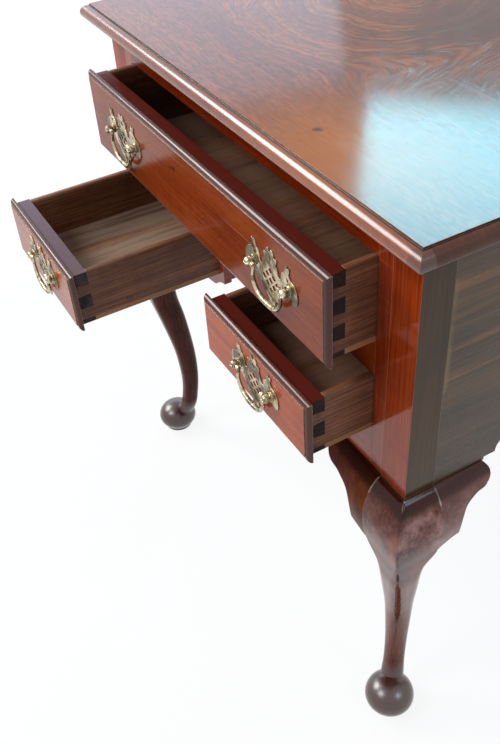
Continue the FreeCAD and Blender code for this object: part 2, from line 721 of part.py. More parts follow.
def tails(x, lip, z, pins):
    """The dovetails of a drawer side, wider at the front than at their root."""
    root = lip + FRONT_BACKING
    pitch = (z[1] - z[0]) / pins
    shapes = []
    for number in range(pins):
        low = z[0] + number * pitch
        high = low + pitch * (1 - PIN_SHARE)
        flare_low = DOVETAIL_FLARE if number else 0
        points = [
            V(x[0], root, low + flare_low),
            V(x[0], lip, low),
            V(x[0], lip, high),
            V(x[0], root, high - DOVETAIL_FLARE),
        ]
        shapes.append(prism(points, V(x[1] - x[0], 0, 0)))
    return shapes


class Drawer:
    """Sizes of one drawer, from its opening and how far it is drawn out."""

    def __init__(self, name, x, z, out, pins):
        self.name = name
        self.pins = pins
        self.lip = FRONT - out
        self.face = self.lip - LIP_THICKNESS
        self.lip_x = (x[0] - LIP_SIDE, x[1] + LIP_SIDE)
        self.lip_z = (z[0] - LIP_OVER, z[1] + LIP_OVER)
        self.x = (x[0] + DRAWER_SIDE_GAP, x[1] - DRAWER_SIDE_GAP)
        self.z = (z[0] + DRAWER_TOP_GAP, z[1] - DRAWER_TOP_GAP)
        self.inner = (self.x[0] + DRAWER_SIDE_THICKNESS, self.x[1] - DRAWER_SIDE_THICKNESS)
        self.root = self.lip + FRONT_BACKING
        self.end = self.lip + DRAWER_DEPTH
        self.floor = self.z[0] + STRIP_HEIGHT
        self.side_z = (self.floor, self.z[1])

    def side_x(self, sign):
        if sign < 0:
            return (self.x[0], self.inner[0])
        return (self.inner[1], self.x[1])

    def side(self, sign):
        """A side board with a rounded top edge and dovetails at the front."""
        x = self.side_x(sign)
        board = box(x, (self.root, self.end), self.side_z)
        half_up = (self.side_z[0] + self.side_z[1]) / 2
        round_edges = [edge for edge in board.Edges
                       if edge.BoundBox.ZMin > half_up
                       and edge.BoundBox.YLength > edge.BoundBox.XLength]
        board = board.makeFillet(DRAWER_SIDE_THICKNESS / 3, round_edges)
        return fused([board] + tails(x, self.lip, self.side_z, self.pins))

    def front(self):
        """The lipped front, its backing cut for the tails of both sides."""
        lip = box(self.lip_x, (self.face, self.lip), self.lip_z)
        for cutter in lip_moulding_cutter(self.lip_x, self.lip_z, self.face):
            lip = lip.cut(cutter)
        board = fused([lip, box(self.x, (self.lip, self.root), self.z)])
        for sign in (-1, 1):
            for tail in tails(self.side_x(sign), self.lip, self.side_z, self.pins):
                board = board.cut(tail)
        for handle in self.handles():
            board = board.cut(handle.shank_holes())
        return board

    def back(self):
        low = self.floor + DRAWER_BOTTOM_THICKNESS
        z = (low, self.z[1] - DRAWER_BACK_DROP)
        return box(self.inner, (self.end - DRAWER_BACK_THICKNESS, self.end), z)

    def bottom(self):
        z = (self.floor, self.floor + DRAWER_BOTTOM_THICKNESS)
        return box(self.inner, (self.root, self.end), z)

    def strips(self):
        """Slips under both sides, lapping under the bottom and taking the wear."""
        z = (self.z[0], self.floor)
        y = (self.root, self.end)
        left = box((self.x[0], self.inner[0] + STRIP_LAP), y, z)
        right = box((self.inner[1] - STRIP_LAP, self.x[1]), y, z)
        return Part.makeCompound([left, right])

    def handles(self):
        middle = (self.lip_x[0] + self.lip_x[1]) / 2
        level = (self.lip_z[0] + self.lip_z[1]) / 2 + HANDLE_LIFT
        if self.name == "top":
            out = OPENING_HALF - TOP_HANDLE_FROM_END
            return [Handle(f"top_{side}", sign * out + TOP_HANDLE_SHIFT, self, level)
                    for side, sign in SIDES]
        return [Handle(self.name, middle + SMALL_HANDLE_SHIFT, self, level)]

    def save_all(self):
        save(f"{self.name}_drawer_front", self.front())
        save(f"{self.name}_drawer_side_left", self.side(-1))
        save(f"{self.name}_drawer_side_right", self.side(1))
        save(f"{self.name}_drawer_back", self.back())
        save(f"{self.name}_drawer_bottom", self.bottom())
        save(f"{self.name}_drawer_strips", self.strips())
        handles = self.handles()
        for handle in handles:
            save(f"{handle.name}_plate", handle.plate())
            save(f"{handle.name}_bail", handle.bail())
        posts = [post for handle in handles for post in handle.posts()]
        nuts = [nut for handle in handles for nut in handle.nuts()]
        save(f"{self.name}_drawer_handle_posts", Part.makeCompound(posts))
        save(f"{self.name}_drawer_handle_nuts", Part.makeCompound(nuts))


# Handles

class Handle:
    """A pierced plate, two posts with nuts behind the drawer front, and a hanging bail."""

    def __init__(self, name, x, drawer, z):
        self.name = f"handle_{name}"
        self.x = x
        self.z = z
        self.face = drawer.face
        self.inside = drawer.root
        self.front = self.face - PLATE_THICKNESS
        self.pivot = self.front - PIVOT_OUT

    def post_places(self):
        return [self.x + sign * BORING / 2 for sign in (-1, 1)]

    def at(self, x, z):
        return V(self.x + x, self.front, self.z + z)

    def plate(self):
        """The plate, an even outline about its middle, with piercings and post holes."""
        right = [self.at(x, z) for x, z in PLATE_LINE]
        left = [self.at(-x, z) for x, z in reversed(PLATE_LINE[1:])]
        outline = Part.BSplineCurve()
        outline.interpolate(right + [self.at(*PLATE_PENDANT)] + left, PeriodicFlag=True)
        through = V(0, PLATE_THICKNESS, 0)
        plate = Part.Face(Part.Wire([outline.toShape()])).extrude(through)
        for hole in self.piercings():
            plate = plate.cut(prism(hole, through))
        return plate.cut(self.shank_holes())

    def piercings(self):
        holes = [[self.at(*point) for point in FINIAL_HOLE]]
        for sign in (-1, 1):
            holes.append([self.at(sign * x, z) for x, z in WING_HOLE])
        for z, count in zip(LATTICE_LEVELS, LATTICE_COUNTS):
            for number in range(count):
                x = (number - (count - 1) / 2) * LATTICE_PITCH * 2
                holes.append([
                    self.at(x, z + LATTICE_HALF_HEIGHT),
                    self.at(x + LATTICE_HALF_WIDTH, z),
                    self.at(x, z - LATTICE_HALF_HEIGHT),
                    self.at(x - LATTICE_HALF_WIDTH, z),
                ])
        return holes

    def shank_holes(self):
        length = self.inside - self.front
        holes = [Part.makeCylinder(POST_SHANK_RADIUS, length, V(x, self.front, self.z), V(0, 1, 0))
                 for x in self.post_places()]
        return Part.makeCompound(holes)

    def post(self, x):
        """A slotted ball head on a short neck and collar, with a shank through the front."""
        def at(radius, y):
            return V(x + radius, self.pivot + y, self.z)

        flat = math.sqrt(POST_HEAD_RADIUS ** 2 - HEAD_FLAT ** 2)
        neck_y = math.sqrt(POST_HEAD_RADIUS ** 2 - POST_NECK_RADIUS ** 2)
        collar_y = PIVOT_OUT - POST_COLLAR_THICKNESS
        end_y = self.inside + NUT_THICKNESS + SHANK_PAST_NUT - self.pivot
        corners = [
            at(POST_NECK_RADIUS, neck_y), at(POST_NECK_RADIUS, collar_y),
            at(POST_COLLAR_RADIUS, collar_y), at(POST_COLLAR_RADIUS, PIVOT_OUT),
            at(POST_SHANK_RADIUS, PIVOT_OUT), at(POST_SHANK_RADIUS, end_y),
            at(0, end_y), at(0, -HEAD_FLAT), at(flat, -HEAD_FLAT),
        ]
        edges = [line(a, b) for a, b in zip(corners, corners[1:])]
        edges.append(arc(at(flat, -HEAD_FLAT), at(POST_HEAD_RADIUS, 0), corners[0]))
        turned = Part.Face(Part.Wire(edges)).revolve(at(0, 0), V(0, 1, 0), 360)
        slot = box((x - POST_HEAD_RADIUS, x + POST_HEAD_RADIUS),
                   (self.pivot - POST_HEAD_RADIUS, self.pivot - HEAD_FLAT + SLOT_DEPTH),
                   (self.z - SLOT_WIDTH / 2, self.z + SLOT_WIDTH / 2))
        inward = V(1, 0, 0) if x < self.x else V(-1, 0, 0)
        start = at(0, 0) + inward * (POST_HEAD_RADIUS - PIVOT_DEPTH)
        bore = Part.makeCylinder(PIVOT_RADIUS + PIVOT_CLEARANCE, POST_HEAD_RADIUS, start, inward)
        return turned.cut(slot).cut(bore)

    def posts(self):
        return [self.post(x) for x in self.post_places()]

    def nuts(self):
        """Round brass nuts against the inside of the drawer front."""
        shapes = []
        for x in self.post_places():
            start = V(x, self.inside, self.z)
            nut = Part.makeCylinder(NUT_RADIUS, NUT_THICKNESS, start, V(0, 1, 0))
            hole = Part.makeCylinder(POST_SHANK_RADIUS, NUT_THICKNESS, start, V(0, 1, 0))
            shapes.append(nut.cut(hole))
        return shapes

    def bail_line(self):
        """Right half of the bail's centre line: a swan neck turning into a broad U."""
        arm = BORING / 2 - POST_HEAD_RADIUS - BAIL_EYE_GAP - BAIL_EYE_HALF
        return [
            (arm, 0.0),
            (arm - 0.5, -0.18 * BAIL_DROP),
            (arm + 0.9, -0.42 * BAIL_DROP),
            (arm - 1.6, -0.66 * BAIL_DROP),
            (arm * 0.68, -0.88 * BAIL_DROP),
            (arm * 0.36, -0.98 * BAIL_DROP),
        ]

    def bail_ring(self, spline, share):
        """The grip's round section at one point of its length."""
        length = spline.LastParameter - spline.FirstParameter
        where = spline.FirstParameter + share * length
        swell = math.sin(math.pi * share) ** 2
        radius = BAIL_ARM_RADIUS + (BAIL_GRIP_RADIUS - BAIL_ARM_RADIUS) * swell
        heading = spline.tangent(where)[0]
        flat = V(0, 1, 0)
        turn = FreeCAD.Rotation(flat, heading.cross(flat), heading, "ZXY")
        ring = Part.makeCircle(radius)
        ring.Placement = FreeCAD.Placement(spline.value(where), turn)
        return Part.Wire([ring])

    def bail(self):
        """The hanging grip, thick in the middle, with an eye and a pin at each post."""
        def at(x, z):
            return V(self.x + x, self.pivot, self.z + z)

        right = self.bail_line()
        points = [at(-x, z) for x, z in right]
        points += [at(0, -BAIL_DROP)] + [at(x, z) for x, z in reversed(right)]
        spline = Part.BSplineCurve()
        spline.interpolate(points)
        rings = [self.bail_ring(spline, number / BAIL_STATIONS)
                 for number in range(BAIL_STATIONS + 1)]
        pieces = [Part.makeLoft(rings, True, False)]
        arm = right[0][0]
        tip = BORING / 2 - POST_HEAD_RADIUS + PIVOT_DEPTH - PIVOT_END_GAP
        for sign in (-1, 1):
            outward = V(sign, 0, 0)
            eye_start = at(sign * (arm - BAIL_EYE_HALF), 0)
            pieces.append(Part.makeCylinder(BAIL_EYE_RADIUS, 2 * BAIL_EYE_HALF, eye_start, outward))
            pieces.append(Part.makeCylinder(PIVOT_RADIUS, tip - arm, at(sign * arm, 0), outward))
        return fused(pieces)


def main():
    os.makedirs("parts", exist_ok=True)
    make_case()
    make_legs_and_ears()
    make_bearers()
    small_z = (SMALL_OPENING_BOTTOM, SMALL_OPENING_TOP)
    top_z = (TOP_OPENING_BOTTOM, TOP_OPENING_TOP)
    drawers = (
        Drawer("top", (-OPENING_HALF, OPENING_HALF), top_z, TOP_DRAWER_OUT, TOP_PINS),
        Drawer("left", (-OPENING_HALF, -OPENING_INNER), small_z, LEFT_DRAWER_OUT, SMALL_PINS),
        Drawer("right", (OPENING_INNER, OPENING_HALF), small_z, RIGHT_DRAWER_OUT, SMALL_PINS),
    )
    for drawer in drawers:
        drawer.save_all()


main()
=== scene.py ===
import math

import bmesh
import bpy
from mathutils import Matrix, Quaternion, Vector


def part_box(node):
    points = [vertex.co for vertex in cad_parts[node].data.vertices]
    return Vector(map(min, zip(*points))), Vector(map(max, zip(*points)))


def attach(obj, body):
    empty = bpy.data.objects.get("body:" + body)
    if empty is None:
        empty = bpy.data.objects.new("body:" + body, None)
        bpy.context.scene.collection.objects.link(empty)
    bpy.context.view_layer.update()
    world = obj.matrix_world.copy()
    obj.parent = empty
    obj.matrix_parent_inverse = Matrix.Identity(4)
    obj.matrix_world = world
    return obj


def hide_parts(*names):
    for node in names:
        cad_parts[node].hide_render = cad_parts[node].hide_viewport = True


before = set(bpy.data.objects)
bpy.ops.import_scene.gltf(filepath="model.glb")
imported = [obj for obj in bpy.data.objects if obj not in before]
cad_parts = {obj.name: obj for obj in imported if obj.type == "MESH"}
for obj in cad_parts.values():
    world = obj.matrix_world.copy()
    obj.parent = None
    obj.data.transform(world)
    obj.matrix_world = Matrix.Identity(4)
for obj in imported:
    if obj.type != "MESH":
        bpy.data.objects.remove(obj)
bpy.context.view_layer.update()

bl_info = {
    "name": "Lowboy finisher",
    "version": (1, 0, 0),
    "blender": (4, 5, 0),
    "location": "View3D > Sidebar > Lowboy",
    "description": "Dresses a cabriole-legged lowboy in its polished woods and brasses",
    "category": "Object",
}

# Lengths are in metres

MM = 0.001

# The pieces that come in sets, and how their grain is turned

SIDES = ("left", "right")
DRAWERS = ("top", "left", "right")
HANDLES = ("top_left", "top_right", "left", "right")
HANDLE_DRAWERS = {"top_left": "top_drawer", "top_right": "top_drawer",
                  "left": "left_drawer", "right": "right_drawer"}
GRAIN_TURNS = {
    "across": (0.0, 0.0, 0.0),
    "deep": (0.0, 0.0, math.radians(-90)),
    "upright": (0.0, math.radians(90), 0.0),
}

# Worn edges and relief

ARRIS_RADIUS = 0.9 * MM
BRASS_ARRIS = 0.4 * MM
PLATE_CHAMFER = 0.55 * MM
RELIEF = 0.25 * MM
BRASS_RELIEF = 0.2 * MM

# A plate's mesh: corners this close are one, faces turned less than this are one flat, and the
# level of a normal from which a face counts as part of the front or, below, of a wall

DOUBLES = 0.001 * MM
PLATE_FLATNESS = math.radians(0.5)
PLATE_FRONT = 0.9
PLATE_WALL = 0.5

# The top's moulding: down from the surface, and in from the edge

QUIRK_LIP = 0.25 * MM
QUIRK_FOOT = 2.15 * MM
FILLET_HEAD = 12.4 * MM
FILLET_FOOT = 13.2 * MM
MOULDING_WIDTH = 16 * MM

# The sides: the joint of their two boards above the lower edge, and the scuff beside the post.
# A fade is full as far as its first distance and gone at its second.

SIDE_JOINT = 141 * MM
SIDE_JOINT_FADE = (0.2 * MM, 0.9 * MM)
SCUFF_BELOW_JOINT = 10 * MM
SCUFF_ABOVE_JOINT = 110 * MM
SCUFF_FADE = (0.5 * MM, 7 * MM)

# The drawers: back from the face of the front, and down and back on the sides

FRONT_FACE = 0.35 * MM
LIP_DEPTH = 7.2 * MM
LINING_EDGE = 3 * MM
DOVETAIL_GRIME = 12 * MM

# The legs: down from the case's lower edge at the knee, and up from the floor at the foot

KNEE_SHADE = 13 * MM
KNEE_BLOOM_AND_HIGHLIGHT = 78 * MM
FOOT_GLOSS = 58 * MM

# The cracks of the knee run from one place to another, out from the case's corner and down. Its
# bared corner is given by how far right, ahead and down it lies.

BRACKET_CRACK = ((4 * MM, 1 * MM), (21 * MM, 22 * MM))
CORNER_CRACK = ((2 * MM, 0.0), (22 * MM, 50 * MM))
CRACK_FADE = (0.3 * MM, 1.3 * MM)
BARED_CORNER = ((13 * MM, 20 * MM, 36 * MM), (13 * MM, 22 * MM, 78 * MM))
BARED_FADE = (1 * MM, 8 * MM)

# How deep each drawer front's colour is, and each pair of legs' specular level, depth and bloom
# with painted highlight

FRONT_DEPTHS = {"top": 0.70, "left": 0.98, "right": 1.17}
# The left pair's darker colour and lesser bloom are painted shade: a shaded copy of the right pair.
LEG_LOOKS = {"left": (0.14, 0.5, 0.3), "right": (0.24, 0.95, 0.9)}

# How fine the clouds of tarnish are

PLATE_TARNISH = 60.0
BAIL_TARNISH = 110.0

# How softly a mask that follows a face's direction ends

FACING_SOFT = 0.05

# The floor: how far it reaches, and how much of what is seen of it is plain white

FLOOR_REACH = 12.0
FLOOR_WHITENESS = 0.88
WHITE = (1.0, 1.0, 1.0, 1.0)

# The lamps: bearing and height in degrees, distance, width and length, colour and radiance

LAMP_TARGET = (0.1, 0.0, 0.72)
LAMPS = {
    "Window light": ((134.7, 31.3), 9.0, (2.7, 2.0), (0.22, 0.80, 1.0), 10.6),
    "Wall light": ((174, 15.5), 5.5, (5.4, 2.0), (0.62, 0.76, 1.0), 1.5),
    "Front light": ((-147, 31), 5.0, (2.2, 2.1), (1.0, 0.98, 0.95), 13.0),
    "Sky light": ((-98, 44), 5.0, (1.7, 1.8), (0.90, 0.96, 1.0), 10.2),
    "Side light": ((22, 41), 5.0, (1.6, 1.4), (0.72, 0.86, 1.0), 6.5),
}

# The camera: where it stands, which way it looks, its roll in degrees and its lens in millimetres

CAMERA_PLACE = (0.7743, -0.5165, 1.1086)
CAMERA_AIM = (-0.67252, 0.33859, -0.65808)
CAMERA_ROLL = -4.52
CAMERA_LENS = 43.17


# Node building

class Nodes:
    """Adds shader nodes to one tree. A socket takes a plain value or another node's output."""

    def __init__(self, tree):
        self.tree = tree

    def feed(self, socket, value):
        if isinstance(value, bpy.types.NodeSocket):
            self.tree.links.new(value, socket)
        else:
            socket.default_value = value

    def add(self, kind, sockets=None, **settings):
        made = self.tree.nodes.new("ShaderNode" + kind)
        for name, value in settings.items():
            setattr(made, name, value)
        for name, value in (sockets or {}).items():
            self.feed(made.inputs[name], value)
        return made

    def math(self, operation, *values):
        made = self.add("Math", operation=operation)
        for socket, value in zip(made.inputs, values):
            self.feed(socket, value)
        return made.outputs[0]

    def vector(self, operation, *values, scale=None):
        made = self.add("VectorMath", operation=operation)
        for socket, value in zip(made.inputs, values):
            self.feed(socket, value)
        if scale is not None:
            self.feed(made.inputs["Scale"], scale)
        return made.outputs["Value" if operation in ("DOT_PRODUCT", "LENGTH") else "Vector"]

    def times(self, product, *factors):
        """The product of two or more values."""
        for factor in factors:
            product = self.math("MULTIPLY", product, factor)
        return product

    def inverse(self, share):
        """What a share leaves of the whole."""
        return self.math("SUBTRACT", 1.0, share)

    def noise(self, place, scale, detail, roughness=0.5):
        made = self.add("TexNoise", {
            "Vector": place, "Scale": scale, "Detail": detail, "Roughness": roughness,
        })
        return made.outputs[0]

    def noise_colour(self, place, scale, detail):
        made = self.add("TexNoise", {"Vector": place, "Scale": scale, "Detail": detail})
        return made.outputs["Color"]

    def place(self, vector, scale=(1, 1, 1), turn=(0, 0, 0), shift=(0, 0, 0)):
        return self.add("Mapping", {
            "Vector": vector, "Location": shift, "Rotation": turn, "Scale": scale,
        }).outputs[0]

    def drawn(self, vector, scale, detail, roughness=0.5):
        """Noise with a scale of its own along each axis, so that it can be drawn out."""
        return self.noise(self.place(vector, scale), 1.0, detail, roughness)

    def spread(self, value, low, high, to_low=0.0, to_high=1.0):
        """Eases a value from one range into another and holds it there."""
        made = self.add("MapRange", interpolation_type="SMOOTHSTEP")
        settings = (value, low, high, to_low, to_high)
        for socket, setting in zip(made.inputs, settings):
            self.feed(socket, setting)
        return made.outputs[0]

    def blend(self, share, first, second, mode="MIX"):
        """Mixes two colours. A Mix node takes its share in socket 0 and colours in 6 and 7."""
        made = self.add("Mix", data_type="RGBA", blend_type=mode)
        for number, value in ((0, share), (6, first), (7, second)):
            self.feed(made.inputs[number], value)
        return made.outputs[2]

    def ramp(self, value, stops):
        made = self.add("ValToRGB", {"Fac": value})
        elements = made.color_ramp.elements
        while len(elements) < len(stops):
            elements.new(0.5)
        for element, (position, colour) in zip(elements, stops):
            element.position = position
            element.color = colour
        return made.outputs[0]

    def object_place(self):
        return self.add("TexCoord").outputs["Object"]

    def group(self, tree, **sockets):
        made = self.tree.nodes.new("ShaderNodeGroup")
        made.node_tree = tree
        for name, value in sockets.items():
            self.feed(made.inputs[name], value)
        return made.outputs


def emptied(owner):
    """Clears the shader tree of a new material or world, and gives its node adder."""
    owner.use_nodes = True
    owner.node_tree.nodes.clear()
    return Nodes(owner.node_tree)


def new_group(name, takes, gives):
    """An empty node group with named sockets, its node adder, and its two ends."""
    tree = bpy.data.node_groups.new(name, "ShaderNodeTree")
    for socket, kind, value in takes:
        made = tree.interface.new_socket(
            socket, in_out="INPUT", socket_type="NodeSocket" + kind)
        if value is not None:
            made.default_value = value
    for socket, kind in gives:
        tree.interface.new_socket(socket, in_out="OUTPUT", socket_type="NodeSocket" + kind)
    nodes = Nodes(tree)
    enter = tree.nodes.new("NodeGroupInput").outputs
    leave = tree.nodes.new("NodeGroupOutput").inputs
    return tree, nodes, enter, leave


def wood_figure():
    """Growth bands, fine grain, dark streaks and open pores along X."""
    name = "Wood figure"
    if name in bpy.data.node_groups:
        return bpy.data.node_groups[name]
    takes = (("Vector", "Vector", None), ("Waviness", "Float", 0.01), ("Ripple", "Float", 0.15))
    gives = (("Tone", "Float"), ("Streak", "Float"), ("Pores", "Float"), ("Height", "Float"))
    tree, nodes, enter, leave = new_group(name, takes, gives)
    drift = nodes.noise_colour(nodes.place(enter["Vector"], (1.6, 6, 6)), 1.0, 1.0)
    drift = nodes.vector("SUBTRACT", drift, (0.5, 0.5, 0.5))
    drift = nodes.vector("SCALE", drift, scale=enter["Waviness"])
    along = nodes.vector("ADD", enter["Vector"], drift)
    bands = nodes.drawn(along, (0.9, 20, 20), 3.0, 0.55)
    fine = nodes.drawn(along, (12, 430, 430), 2.0, 0.6)
    lines = nodes.drawn(along, (2.4, 150, 150), 2.0)
    pits = nodes.drawn(along, (75, 1100, 1100), 1.0)
    ripple = nodes.drawn(along, (48, 10, 10), 2.0)
    pores = nodes.spread(pits, 0.56, 0.72)
    tone = nodes.math("ADD", nodes.times(bands, 0.55), nodes.times(fine, 0.45))
    ripple = nodes.times(nodes.math("SUBTRACT", ripple, 0.5), enter["Ripple"])
    nodes.feed(leave["Tone"], nodes.spread(nodes.math("ADD", tone, ripple), 0.32, 0.68))
    nodes.feed(leave["Streak"], nodes.spread(lines, 0.54, 0.70))
    nodes.feed(leave["Pores"], pores)
    height = nodes.math("SUBTRACT", nodes.times(fine, 0.5), pores)
    nodes.feed(leave["Height"], height)
    return tree


def edge_wear():
    """The rounded normal of worn arrises, and a broken mask of where they are rubbed pale."""
    name = "Edge wear"
    if name in bpy.data.node_groups:
        return bpy.data.node_groups[name]
    takes = (("Vector", "Vector", None), ("Radius", "Float", ARRIS_RADIUS))
    gives = (("Normal", "Vector"), ("Wear", "Float"))
    tree, nodes, enter, leave = new_group(name, takes, gives)
    rounded = nodes.add("Bevel", {"Radius": enter["Radius"]}, samples=6).outputs[0]
    flat = nodes.add("NewGeometry").outputs["Normal"]
    turned = nodes.inverse(nodes.vector("DOT_PRODUCT", rounded, flat))
    rim = nodes.spread(turned, 0.004, 0.10)
    broken = nodes.spread(nodes.noise(enter["Vector"], 55.0, 2.0), 0.30, 0.50, 0.85, 1.0)
    nodes.feed(leave["Normal"], rounded)
    nodes.feed(leave["Wear"], nodes.times(rim, broken))
    return tree


def age_marks():
    """Cloudy patches, small dark spots, fine scratches and uneven polish of an old surface."""
    name = "Age marks"
    if name in bpy.data.node_groups:
        return bpy.data.node_groups[name]
    takes = (("Vector", "Vector", None),)
    gives = (("Clouds", "Float"), ("Spots", "Float"), ("Scratches", "Float"), ("Polish", "Float"))
    tree, nodes, enter, leave = new_group(name, takes, gives)
    clouds = nodes.noise(enter["Vector"], 9.0, 4.0, 0.6)
    spots = nodes.noise(enter["Vector"], 46.0, 2.0)
    slant = nodes.place(enter["Vector"], (5, 620, 620), (0.3, 0.5, 0.62))
    cross = nodes.place(enter["Vector"], (640, 6, 640), (0.2, -0.4, 0.35))
    first = nodes.spread(nodes.noise(slant, 1.0, 1.0), 0.70, 0.76)
    second = nodes.spread(nodes.noise(cross, 1.0, 1.0), 0.71, 0.77)
    nodes.feed(leave["Clouds"], nodes.spread(clouds, 0.36, 0.68))
    nodes.feed(leave["Spots"], nodes.spread(spots, 0.70, 0.78))
    nodes.feed(leave["Scratches"], nodes.math("MAXIMUM", first, second))
    nodes.feed(leave["Polish"], nodes.noise(enter["Vector"], 24.0, 4.0, 0.6))
    return tree


def colour_of(value):
    """An opaque colour."""
    return (value[0], value[1], value[2], 1.0)


def shade(value, share):
    """An opaque colour, darker by a share, or lighter where the share is over one."""
    return (value[0] * share, value[1] * share, value[2] * share, 1.0)


def figure_colours(nodes, figure, finish):
    """The plain grain colours of a finish over a figure that is already there."""
    return nodes.ramp(figure["Tone"], (
        (0.08, colour_of(finish.dark)),
        (0.5, colour_of(finish.middle)),
        (0.92, colour_of(finish.light)),
    ))


class Wood:
    """One finished timber, whose shader tree is built step by step, colour first.

    The shift moves the figure, so that no two boards show the same. Before close is called,
    rubbed may hold the share of edge wear that stays, dull a mask of roughness, gloss a mask of
    coat, and coat the roughness and IOR of that coat.
    """

    def __init__(self, name, finish, grain="across", shift=(0, 0, 0), waviness=0.012,
                 ripple=0.15):
        self.material = bpy.data.materials.new(name)
        self.nodes = emptied(self.material)
        self.finish = finish
        self.origin = self.nodes.object_place()
        self.waviness = waviness
        self.ripple = ripple
        self.along = self.nodes.place(self.origin, turn=GRAIN_TURNS[grain], shift=shift)
        moved = self.nodes.place(self.origin, shift=shift)
        self.marks = self.nodes.group(age_marks(), Vector=moved)
        self.rim = self.nodes.group(edge_wear(), Vector=self.origin, Radius=finish.arris)
        self.colour = None
        self.figure = None
        self.rubbed = 1.0
        self.dull = 0.0
        self.gloss = 0.0
        self.coat = (0.08, 1.5)

    def grow(self, along=None):
        """The timber's own colour: figure, streaks and pores."""
        finish = self.finish
        self.figure = self.nodes.group(
            wood_figure(), Vector=along or self.along, Waviness=self.waviness, Ripple=self.ripple)
        self.colour = figure_colours(self.nodes, self.figure, finish)
        self.tint(self.figure["Streak"], shade(finish.dark, 0.55), finish.streaks)
        return self.tint(self.figure["Pores"], shade(finish.dark, 0.35), finish.pores)

    def age(self, clouds=0.35, spots=0.6, scratches=0.12):
        """Clouding, spots and scratches of long use."""
        finish = self.finish
        self.tint(self.marks["Clouds"], colour_of(finish.cloud), clouds)
        self.tint(self.marks["Spots"], shade(finish.dark, 0.4), spots)
        return self.tint(self.marks["Scratches"], colour_of(finish.worn), scratches)

    def deepen(self, share):
        """Makes the whole colour darker, or lighter where the share is over one."""
        self.colour = self.nodes.blend(1.0, self.colour, (share, share, share, 1.0), "MULTIPLY")
        return self

    def tint(self, mask, colour, share=None):
        """Lays another colour over the wood where a mask says, or a share of the mask."""
        if share is not None:
            mask = self.nodes.times(mask, share)
        self.colour = self.nodes.blend(mask, self.colour, colour)
        return self

    def close(self, specular=0.4, depth=0.2, uneven=0.06):
        """Wear on the arrises, roughness, relief and the shader. The depth is the relief's."""
        nodes = self.nodes
        finish = self.finish
        wear = nodes.times(self.rim["Wear"], finish.wear, self.rubbed)
        colour = nodes.blend(wear, self.colour, colour_of(finish.worn))
        lift = nodes.times(nodes.math("SUBTRACT", self.marks["Polish"], 0.5), uneven)
        rough = nodes.math("ADD", lift, finish.roughness)
        for mask, share in ((self.figure["Pores"], 0.08), (self.marks["Scratches"], 0.08),
                            (self.dull, 0.5)):
            rough = nodes.math("ADD", rough, nodes.times(mask, share))
        rough = nodes.add("Clamp", {"Value": rough, "Min": 0.04, "Max": 1.0}).outputs[0]
        relief = nodes.math(
            "SUBTRACT", self.figure["Height"], nodes.times(self.marks["Scratches"], 0.6))
        relief = nodes.math("ADD", relief, nodes.times(self.marks["Polish"], 1.2))
        bump = nodes.add("Bump", {
            "Strength": depth, "Distance": RELIEF, "Height": relief, "Normal": self.rim["Normal"],
        })
        shader = nodes.add("BsdfPrincipled", {
            "Base Color": colour, "Roughness": rough, "Normal": bump.outputs[0],
            "Specular IOR Level": specular, "Coat Weight": self.gloss,
            "Coat Roughness": self.coat[0], "Coat IOR": self.coat[1],
        })
        nodes.add("OutputMaterial", {"Surface": shader.outputs[0]})
        return self.material


# Sizes and colours a user may change

def colour_choice(name, description, default):
    """A colour of three values."""
    return bpy.props.FloatVectorProperty(
        name=name, description=description, default=default,
        subtype="COLOR", size=3, min=0.0, max=1.0)


def share_choice(name, description, default):
    """A number from nought to one."""
    return bpy.props.FloatProperty(
        name=name, description=description, default=default, subtype="FACTOR", min=0.0, max=1.0)


def arris_choice(default=ARRIS_RADIUS):
    """The radius of a timber's worn edges."""
    return bpy.props.FloatProperty(
        name="Arris", description="Radius that wear has given the sharp edges", default=default,
        min=0.0, max=0.01, precision=4, unit="LENGTH")


TIMBER_COLOURS = {
    "dark": ("Dark figure", "Darkest lines of the {}"),
    "middle": ("Ground", "Main colour of the {}"),
    "light": ("Light figure", "Palest lines of the {}"),
    "cloud": ("Clouds", "Colour of cloudy patches on the {}"),
    "worn": ("Rubbed edge", "Colour of the rubbed edges of the {}"),
}
TIMBER_SHARES = {
    "streaks": ("Streaks", "Strength of dark streaks in the {}"),
    "pores": ("Pores", "Strength of open pores in the {}"),
    "wear": ("Wear", "Paleness of the rubbed edges of the {}"),
    "roughness": ("Roughness", "Roughness of the {}"),
}


def timber(pieces, **defaults):
    """Puts the choices that every timber has ahead of a group's own ones."""
    def add(group):
        shared = {}
        for kind, choices in ((colour_choice, TIMBER_COLOURS), (share_choice, TIMBER_SHARES)):
            for choice, (name, description) in choices.items():
                shared[choice] = kind(name, description.format(pieces), defaults[choice])
        group.__annotations__ = {**shared, **group.__annotations__}
        return group
    return add


@timber("top", dark=(0.135, 0.022, 0.006), middle=(0.235, 0.050, 0.012),
        light=(0.345, 0.090, 0.022), cloud=(0.160, 0.034, 0.016), worn=(0.660, 0.420, 0.300),
        streaks=0.3, pores=0.6, wear=0.3, roughness=0.1)
class TopFinish(bpy.types.PropertyGroup):
    """Polished mahogany of the top board."""
    glow: colour_choice("Glow", "Orange ground near the front right corner", (0.520, 0.150, 0.016))
    arris: arris_choice()


@timber("show wood", dark=(0.175, 0.018, 0.004), middle=(0.255, 0.032, 0.004),
        light=(0.330, 0.050, 0.006), cloud=(0.150, 0.014, 0.003), worn=(0.600, 0.300, 0.160),
        streaks=0.12, pores=0.35, wear=0.25, roughness=0.12)
class ShowWoodFinish(bpy.types.PropertyGroup):
    """Red mahogany of the rails, strips, aprons and the fronts of the posts."""
    arris: arris_choice()


